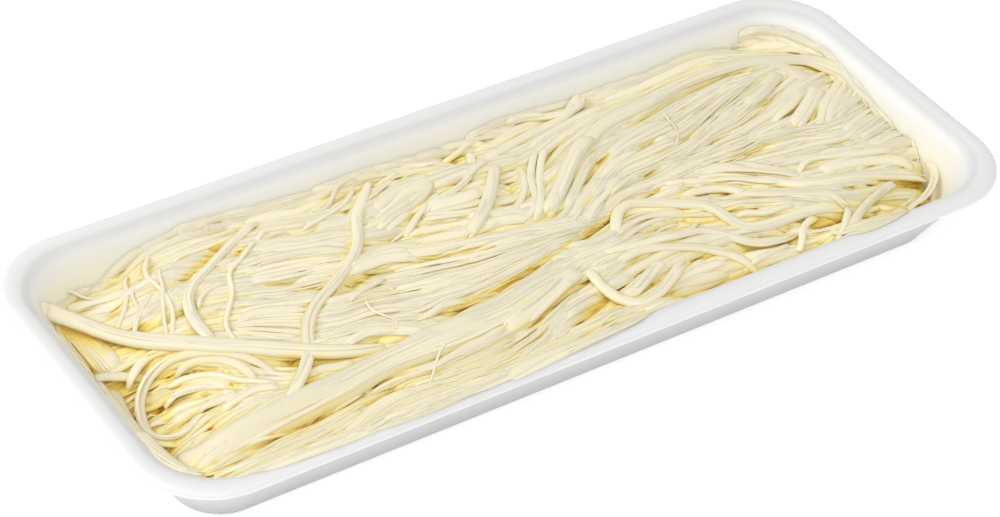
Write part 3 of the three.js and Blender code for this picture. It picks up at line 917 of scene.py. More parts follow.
def press_into_pile(plan, height, slope, half_widths, thickness):
    """Raises the pile to the top of a strand just laid."""
    left = left_of(plan)
    upright = np.sqrt(1 + slope ** 2)
    widest = half_widths.max()
    for offset in np.arange(-widest, widest + PRESS_OVERSHOOT, PRESS_STEP):
        share = offset * upright / np.maximum(half_widths, THINNEST_EDGE)
        inside = np.abs(share) < 1
        beside = plan + left * offset
        crest = height + slope * offset + thickness / 2 * upright * np.sqrt(np.clip(1 - share ** 2, 0, 1))
        i, j = cell_of(beside[inside, 0], beside[inside, 1])
        np.maximum.at(pile, (i, j), crest[inside])


def swell(count, tip=TORN_TIP, tapers=TORN_TAPERS):
    """Width along a strand as a share of its widest: uneven, and narrower where it tore off."""
    t = np.linspace(0, 1, count)
    wander = np.array([chance.uniform(-1, 1) for _ in range(max(4, count // 5))])
    uneven = 1 + UNEVENNESS * smoothed(np.interp(t, np.linspace(0, 1, len(wander)), wander), 2)
    start_taper = chance.uniform(*tapers)
    end_taper = chance.uniform(*tapers)
    from_start = np.clip(t / start_taper, 0, 1)
    from_end = np.clip((1 - t) / end_taper, 0, 1)
    return uneven * (tip + (1 - tip) * np.sin(from_start * math.pi / 2)) * (
        tip + (1 - tip) * np.sin(from_end * math.pi / 2))


def dive(count, depth, share):
    """How far a strand sinks into the heap towards its ends."""
    t = np.linspace(0, 1, count)
    from_end = np.clip(np.minimum(t, 1 - t) / share, 0, 1)
    return depth * (1 - from_end) ** 2


strands = {
    "packed_strands": [],
    "wall_strands": [],
    "combed_strands": [],
    "edge_strands": [],
    "broad_ribbons": [],
    "loose_strands": [],
    "fine_fibres": [],
}


def keep_strand(piece, plan, height, slope, half_widths, shape, cut_start=False, cut_end=False):
    """Stores a laid strand until its piece's mesh is made."""
    strands[piece].append({
        "points": np.column_stack([plan, height]),
        "tilts": np.arctan(slope) + chance.uniform(-TILT_VARIETY, TILT_VARIETY),
        "radii": half_widths,
        "shape": shape,
        "cuts": (cut_start, cut_end),
        "tone": chance.random(),
    })


def lay_strand(piece, plan, half_widths, width, shape, sink_share, stiffness, end_dive, dive_share,
               ceiling=None):
    """Lays a strand along a route seen from above, on what is there already."""
    thickness = width * shape
    height, slope = rest_on_pile(plan, half_widths, thickness, sink_share * thickness, stiffness, ceiling)
    height = height - dive(len(plan), end_dive * thickness, dive_share)
    press_into_pile(plan, height, slope, half_widths, thickness)
    keep_strand(piece, plan, height, slope, half_widths, shape)


# Which way the strands run, on a coarse grid over the tray: as the sheets nearby do
FLOW_CELL = 2.5 * MM
FLOW_REACH = 7 * MM
FLOW_POINTS = 16
FLOW_FAR_FROM_SHEETS = (0.02, 0.002)

flow_x = np.arange(-tray_half.x, tray_half.x + FLOW_CELL, FLOW_CELL)
flow_y = np.arange(-tray_half.y, tray_half.y + FLOW_CELL, FLOW_CELL)
flow_grid_x, flow_grid_y = np.meshgrid(flow_x, flow_y, indexing="ij")
flow_sum = np.zeros(flow_grid_x.shape + (2,)) + FLOW_FAR_FROM_SHEETS
for _, edge, other_edge in COMBED_SHEETS + WALL_SHEETS:
    for side in (edge, other_edge):
        route = even_route(side, FLOW_POINTS)
        height = seen_on(heap_top, route)
        route = sight_at_height(route, height)[height > 0]
        if len(route) < 3:
            continue
        ahead = np.gradient(route, axis=0)
        ahead *= np.sign(ahead[:, :1]) / np.linalg.norm(ahead, axis=1)[:, None]
        for (x, y), direction in zip(route, ahead):
            weight = np.exp(-((flow_grid_x - x) ** 2 + (flow_grid_y - y) ** 2) / (2 * FLOW_REACH ** 2))
            flow_sum += weight[:, :, None] * direction
flow_angle = np.arctan2(flow_sum[:, :, 1], flow_sum[:, :, 0])
# What a strand tries, one after another, where the wall stands in its way, in radians
TURNS = (0, 0.15, -0.15, 0.3, -0.3, 0.5, -0.5, 0.8, -0.8)


def follow_flow(x, y, heading_offset, bend, length, sense):
    """Walks one way from a place, as the strands nearby run, and along the wall where it is met."""
    places = []
    travelled = 0
    while travelled < length:
        i = int((x + tray_half.x) / FLOW_CELL + 0.5)
        j = int((y + tray_half.y) / FLOW_CELL + 0.5)
        heading = flow_angle[i, j] + heading_offset + sense * bend * travelled
        for turned in TURNS:
            next_x = x + sense * POINT_SPACING * math.cos(heading + turned)
            next_y = y + sense * POINT_SPACING * math.sin(heading + turned)
            if in_heap[cell_of(np.array(next_x), np.array(next_y))]:
                break
        else:
            break
        x, y = next_x, next_y
        places.append((x, y))
        travelled += POINT_SPACING
    return places


# (least, most) in millimetres, and the spreads of the heading in radians and the bend per metre
PACKED_COUNT = 700
PACKED_WIDTHS = (1.5, 3.6)
PACKED_LENGTHS = (30, 100)
PACKED_HEADINGS = 0.1
PACKED_BENDS = 2.0
PACKED_PICKS = 7
PACKED_SMOOTHING = 2
PACKED_TIP = 0.25
PACKED_TAPERS = (0.15, 0.35)
PACKED_SINK = 0.5
PACKED_STIFFNESS = 4 * MM
PACKED_DIVE = 1.4
FEWEST_POINTS = 9
# Each end goes down into the heap over this share of the strand's length
BURIED_SHARE = 0.25

heap_cells = np.argwhere(in_heap)
laid = 0
while laid < PACKED_COUNT:
    # Strands drop where the heap is still lowest
    picks = [heap_cells[chance.randrange(len(heap_cells))] for _ in range(PACKED_PICKS)]
    i, j = max(picks, key=lambda pick: highest_packed[tuple(pick)] - pile[tuple(pick)])
    x, y = cell_x[i], cell_y[j]
    width = chance.uniform(*PACKED_WIDTHS) * MM
    length = chance.uniform(*PACKED_LENGTHS) * MM
    heading_offset = chance.gauss(0, PACKED_HEADINGS)
    bend = chance.gauss(0, PACKED_BENDS)
    behind = follow_flow(x, y, heading_offset, bend, length / 2, -1)
    before = follow_flow(x, y, heading_offset, bend, length / 2, 1)
    plan = np.array(behind[::-1] + [(x, y)] + before)
    if len(plan) < FEWEST_POINTS:
        continue
    plan = smooth_route(plan, PACKED_SMOOTHING)
    half_widths = width / 2 * swell(len(plan), PACKED_TIP, PACKED_TAPERS)
    lay_strand(
        "packed_strands", plan, half_widths, width, PACKED, PACKED_SINK, PACKED_STIFFNESS,
        PACKED_DIVE, BURIED_SHARE, highest_packed)
    laid += 1

# Some stick to the walls above the heap, flat against them
CLINGING_COUNT = 260
CLINGING_WIDTHS = (1.2, 2.8)
CLINGING_LENGTHS = (12, 40)
CLINGING_PICKS = 9
CLINGING_DRIFT = 0.12
CLINGING_SMOOTHING = 1.5
CLINGING_SINK = 0.75
CLINGING_STIFFNESS = 3 * MM
CLINGING_DIVE = 1.5
CLINGING_ROOM = 1.3 * MM

wall_cells = np.argwhere(clings_far | clings_right)
wall_rise_x, wall_rise_y = np.gradient(tray_top)
highest_clinging = np.maximum(tray_top + CLINGING_ROOM, highest_packed)
stuck = 0
while stuck < CLINGING_COUNT:
    picks = [wall_cells[chance.randrange(len(wall_cells))] for _ in range(CLINGING_PICKS)]
    i, j = min(picks, key=lambda pick: pile[tuple(pick)] - tray_top[tuple(pick)])
    x, y = cell_x[i], cell_y[j]
    drift = chance.gauss(0, CLINGING_DRIFT)
    plan = []
    for _ in range(int(chance.uniform(*CLINGING_LENGTHS) * MM / POINT_SPACING)):
        if not in_heap[i, j]:
            break
        plan.append((x, y))
        level = math.atan2(-wall_rise_x[i, j], wall_rise_y[i, j]) + drift
        x += POINT_SPACING * math.cos(level)
        y += POINT_SPACING * math.sin(level)
        i, j = cell_of(np.array(x), np.array(y))
    plan = np.array(plan)
    if len(plan) < FEWEST_POINTS:
        continue
    plan = smooth_route(plan, CLINGING_SMOOTHING)
    width = chance.uniform(*CLINGING_WIDTHS) * MM
    half_widths = width / 2 * swell(len(plan))
    lay_strand(
        "wall_strands", plan, half_widths, width, RIBBON, CLINGING_SINK, CLINGING_STIFFNESS,
        CLINGING_DIVE, BURIED_SHARE, highest_clinging)
    stuck += 1


# ---- Combed strands ----
# Sheets of curd that were pulled only part of the way: strands side by side, still close, that
# fan out, cross and part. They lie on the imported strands, and those by the walls on the wall.

# Height at which a route in the frame is measured before it is laid, and its rough scale there
USUAL_TOP = 18 * MM
PIXELS_PER_METRE = 3640
DOWN_FRAME_STRETCH = 1.45


def rough_plan(route):
    """A route in the frame as it runs seen from above, before its strand is laid."""
    return sight_at_height(route, np.full(len(route), USUAL_TOP))


def real_width(seen_width, plan, shape):
    """Width of a strand that looks this wide in the frame, from the way it lies."""
    step = plan[-1] - plan[0]
    turned = math.atan2(step[1], step[0]) - VIEW_AZIMUTH
    upright = math.sin(VIEW_ELEVATION) ** 2 + (shape * math.cos(VIEW_ELEVATION)) ** 2
    return seen_width / math.sqrt(math.sin(turned) ** 2 + math.cos(turned) ** 2 * upright)


def lay_by_sight(places, width, shape, sink_share, stiffness, ceiling=None, end_dive=0.6, tip=0.5,
                 tapers=TORN_TAPERS):
    """Lays a strand so that it shows along places in the frame, on what is there already."""
    height = seen_on(np.where(in_heap, pile, 0), places)
    on_heap = height > 0
    if on_heap.mean() > 0.5:
        steps = np.arange(len(places))
        height = np.interp(steps, steps[on_heap], height[on_heap])
    else:
        height = seen_on(pile, places)
    plan = sight_at_height(places, height)
    half_widths = width / 2 * swell(len(places), tip, tapers)
    thickness = width * shape
    sink = sink_share * width * shape
    for _ in range(4):
        rested, slope = rest_on_pile(plan, half_widths, thickness, sink, stiffness, ceiling)
        height = (height + rested) / 2
        plan = sight_at_height(places, height)
    height, slope = rest_on_pile(plan, half_widths, thickness, sink, stiffness, ceiling)
    dive_share = 0.5 * (tapers[0] + tapers[1])
    return plan, height - dive(len(places), end_dive * width * shape, dive_share), slope, half_widths


def run_on(places, overrun):
    """A route in the frame carried on a little at both ends."""
    places = np.array(places, float)
    start_step = places[0] - places[1]
    end_step = places[-1] - places[-2]
    start = places[0] + start_step / np.linalg.norm(start_step) * overrun
    end = places[-1] + end_step / np.linalg.norm(end_step) * overrun
    return np.vstack([start, places, end])


def points_along(places):
    """How many points a route in the frame needs, from its rough real length."""
    steps = np.diff(np.array(places, float), axis=0)
    pixels = np.hypot(steps[:, 0], steps[:, 1] * DOWN_FRAME_STRETCH).sum()
    return max(8, int(pixels / PIXELS_PER_METRE / POINT_SPACING))


# How far under the heap's top they stay, and how much of a gap's depth they leave open
COMBED_DEPTH = 0.5 * MM
COMBED_GAP_SHARE = 0.6
# How far in the frame each sheet's strands run on under the next ones
OVERRUN = 20
# Strands laid for each one seen, how far they drift across it, and how far short of its ends they stop
STRANDS_FOR_ONE = 1.6
COMBED_DRIFT = 0.22
COMBED_STAGGER = 0.12
# Their widths as shares of the space between them, and the least and most
COMBED_WIDTH_SHARES = (0.55, 0.75, 1.0, 1.3, 1.8)
COMBED_NARROWEST = 0.8 * MM
COMBED_WIDEST = 3.6 * MM
COMBED_RIBBON_FROM = 2.4 * MM
COMBED_SINKS = (0.05, 0.65)
CALM_SINK = 0.3
COMBED_STIFFNESS = 2.5 * MM
COMBED_DIVE = 1.8
COMBED_TIP = 0.25
COMBED_TAPERS = (0.15, 0.4)
LOWEST_HEAP = 10 * MM
# The fewest points that still make a strand
SHORTEST_ROUTE = 7

highest_combed = np.where(
    in_heap, heap_top - COMBED_DEPTH - COMBED_GAP_SHARE * gap_depth, tray_top + ROOM_BESIDE_HEAP)
highest_on_wall = np.where(tray_top > FOAM + MM, tray_top + CLING_THICKNESS, 0)
highest_combed = np.maximum(highest_combed, highest_on_wall)
for count, edge, other_edge in COMBED_SHEETS + WALL_SHEETS:
    piece = "wall_strands" if (count, edge, other_edge) in WALL_SHEETS else "combed_strands"
    edge = run_on(edge, OVERRUN)
    other_edge = run_on(other_edge, OVERRUN)
    steps = max(points_along(edge), points_along(other_edge))
    edge = even_route(edge, steps)
    other_edge = even_route(other_edge, steps)
    across = rough_plan(other_edge) - rough_plan(edge)
    spacing = np.abs((across * left_of(rough_plan(edge))).sum(axis=1)).mean() / max(count - 1, 1)
    strand_count = int(STRANDS_FOR_ONE * count) + 1
    order = list(range(strand_count))
    chance.shuffle(order)
    for number in order:
        share = number / max(strand_count - 1, 1)
        start = share + chance.gauss(0, COMBED_DRIFT / count)
        end = share + chance.gauss(0, COMBED_DRIFT / count)
        shares = np.linspace(start, end, steps)[:, None]
        places = edge + (other_edge - edge) * shares
        height = np.maximum(seen_on(np.where(in_heap, pile, 0), places), LOWEST_HEAP)
        plan = sight_at_height(places, height)
        outside = np.flatnonzero(~in_heap[cell_of(plan[:, 0], plan[:, 1])])
        late_start = int(steps * chance.uniform(0, COMBED_STAGGER))
        early_end = steps - int(steps * chance.uniform(0, COMBED_STAGGER))
        first = max([late_start] + [k + 1 for k in outside if k < steps // 2])
        last = min([early_end] + [k for k in outside if k >= steps // 2])
        if last - first < SHORTEST_ROUTE:
            continue
        width = max(spacing * chance.choice(COMBED_WIDTH_SHARES), COMBED_NARROWEST)
        width = min(width, COMBED_WIDEST)
        middle = plan[len(plan) // 2]
        calm_here = calm[cell_of(middle[0], middle[1])]
        shape = RIBBON if width > COMBED_RIBBON_FROM or calm_here > 0.5 else COMBED
        sink_share = chance.uniform(*COMBED_SINKS) + CALM_SINK * calm_here
        plan, height, slope, half_widths = lay_by_sight(
            places[first:last], width, shape, sink_share, COMBED_STIFFNESS,
            highest_combed, COMBED_DIVE, COMBED_TIP, COMBED_TAPERS)
        press_into_pile(plan, height, slope, half_widths, width * shape)
        keep_strand(piece, plan, height, slope, half_widths, shape)


# ---- Broad ribbons ----
# Wide pieces of curd that stayed whole when pulled, as flat as tape. They lie over the combed
# strands and arch where those lift them.

# (width in mm, places along it in the frame)
BROAD_RIBBONS = [
    (7.4, [(180, 464), (192, 460), (218, 450), (248, 434), (280, 418), (312, 402), (344, 387),
           (372, 371), (400, 357), (431, 344), (459, 333), (487, 321), (512, 309), (533, 295),
           (561, 278), (590, 262)]),
    (4.6, [(503, 331), (530, 312), (550, 295), (565, 281), (583, 266)]),
    (4.4, [(563, 205), (568, 190), (575, 170), (581, 153), (590, 138), (602, 126), (620, 115),
           (645, 103), (670, 90), (695, 79), (720, 70), (745, 63), (770, 60), (800, 60), (820, 63),
           (838, 68), (854, 77)]),
    (2.9, [(598, 150), (588, 165), (580, 180), (572, 196), (563, 210)]),
    (4.0, [(582, 90), (577, 103), (566, 115), (552, 124), (535, 133), (515, 143), (497, 152),
           (478, 160)]),
    (3.8, [(718, 122), (735, 111), (750, 102), (768, 92)]),
    (4.6, [(742, 106), (758, 95), (770, 82), (781, 70)]),
    (4.6, [(819, 84), (815, 94), (808, 106), (800, 118), (793, 127)]),
    (3.4, [(165, 402), (178, 394), (192, 388), (208, 384), (234, 383)]),
    (3.6, [(815, 176), (830, 168), (850, 162), (880, 159), (904, 161), (914, 164)]),
    (3.6, [(425, 208), (445, 203), (465, 198), (484, 188)]),
    (3.6, [(428, 176), (427, 188), (418, 198), (405, 207), (390, 216), (380, 226)]),
    (3.2, [(620, 294), (634, 292), (645, 280), (653, 270), (664, 258)]),
    (3.4, [(112, 385), (118, 398), (126, 413), (136, 427), (149, 438), (165, 444), (180, 441)]),
    # the smooth hollow behind the left wall, and the near left corner
    (7.8, [(64, 320), (76, 333), (90, 348), (104, 362), (112, 372)]),
    (2.6, [(106, 398), (118, 416), (132, 434), (146, 450), (162, 461)]),
    (4.6, [(134, 440), (146, 452), (162, 464), (182, 473), (204, 475)]),
    # against the right wall
    (2.8, [(928, 160), (934, 172), (932, 186), (922, 199), (906, 208)]),
    # over the far side's hollow
    (3.4, [(470, 152), (485, 148), (500, 142), (515, 132), (535, 124), (555, 116)]),
]

# The ribs' widths in millimetres, and how far across the strand they start and wander
RIB_WIDTHS = (0.8, 1.8)
RIB_PLACES = 0.7
RIB_SWAY = 0.15
RIB_TIP = 0.2
RIB_SINK = 0.75
RIB_STIFFNESS = 3 * MM
RIB_DIVE = 0.5
# Each end goes down over this share of the length
SLANT_SHARE = 0.3


def add_ribs(piece, plan, half_widths, count):
    """The pulled grain that stands up along a wide strand, as low ribs."""
    left = left_of(plan)
    for _ in range(count):
        first = chance.randrange(0, len(plan) // 2)
        last = min(len(plan), first + chance.randrange(len(plan) // 3, len(plan)))
        if last - first < SHORTEST_ROUTE:
            continue
        sway = chance.uniform(-RIB_SWAY, RIB_SWAY) * np.linspace(-1, 1, last - first)
        share = chance.uniform(-RIB_PLACES, RIB_PLACES) + sway
        rib_plan = plan[first:last] + left[first:last] * (half_widths[first:last] * share)[:, None]
        width = chance.uniform(*RIB_WIDTHS) * MM
        rib_half_widths = width / 2 * swell(last - first, RIB_TIP)
        lay_strand(
            piece, rib_plan, rib_half_widths, width, FLAT, RIB_SINK, RIB_STIFFNESS, RIB_DIVE, SLANT_SHARE)


# The widest ones sink deeper, hardly dip at their ends and start at full width
WIDEST_FROM = 7
WIDEST_SINK = 0.7
WIDEST_DIVE = 0.4
RIBBON_SINK = 0.4
RIBBON_DIVE = 1.5
RIBBON_STIFFNESS = 5 * MM
RIBBON_TIP = 0.7
RIBBON_RIBS_PER_MM = 1.1

for width_mm, places in BROAD_RIBBONS:
    route = even_route(places, points_along(places))
    width = real_width(width_mm * MM, rough_plan(route), RIBBON)
    is_widest = width_mm > WIDEST_FROM
    plan, height, slope, half_widths = lay_by_sight(
        route, width, RIBBON, WIDEST_SINK if is_widest else RIBBON_SINK, RIBBON_STIFFNESS,
        end_dive=WIDEST_DIVE if is_widest else RIBBON_DIVE, tip=RIBBON_TIP)
    if is_widest:
        half_widths[: len(half_widths) // 4] = width / 2
    press_into_pile(plan, height, slope, half_widths, width * RIBBON)
    keep_strand("broad_ribbons", plan, height, slope, half_widths, RIBBON)
    add_ribs("broad_ribbons", plan, half_widths, int(RIBBON_RIBS_PER_MM * width_mm))


# ---- Edge strands ----
# Where a bundle ends at a gap, its last thin strand stands up along the gap's near side, so that the
# gap behind it is narrow and deep.

EDGE_WIDTHS = (0.9, 1.5)
SHORTEST_EDGED_GAP = 5 * MM
# How far past the gap's ends it runs in the frame, and how far beside its middle the strand lies, as
# shares of the gap's half width and the strand's width
EDGE_OVERRUN = 5
EDGE_BESIDE_GAP = 0.6
EDGE_BESIDE_STRAND = 0.45
EDGE_SMOOTHING = 1.5
EDGE_TIP = 0.15
EDGE_TAPERS = (0.3, 0.5)
EDGE_SINK = 0.6
EDGE_STIFFNESS = 2.5 * MM
EDGE_DIVE = 0.9

under_edges = np.where(in_heap, pile, 0)
gap_depth = trace_gaps(under_edges)
for half_width_mm, _, places in GAPS:
    route = run_on(places, EDGE_OVERRUN)
    route = even_route(route, points_along(route))
    height = seen_on(under_edges, route)
    if height.min() == 0:
        continue
    mouth = sight_at_height(route, smoothed(height, EDGE_SMOOTHING))
    if np.linalg.norm(np.diff(mouth, axis=0), axis=1).sum() < SHORTEST_EDGED_GAP:
        continue
    left = left_of(mouth)
    near_side = -np.sign((left @ away).mean())
    width = chance.uniform(*EDGE_WIDTHS) * MM
    beside = EDGE_BESIDE_GAP * half_width_mm * MM + EDGE_BESIDE_STRAND * width
    plan = smooth_route(mouth + near_side * beside * left, EDGE_SMOOTHING)
    half_widths = width / 2 * swell(len(plan), EDGE_TIP, EDGE_TAPERS)
    lay_strand(
        "edge_strands", plan, half_widths, width, ROUND, EDGE_SINK, EDGE_STIFFNESS, EDGE_DIVE, SLANT_SHARE)


# ---- Loose strands ----
# Single strands pulled right off and dropped on top: thick ones that bridge the heap from side to
# side, and thin ones that loop and hook. The knife's cut shows on some ends.

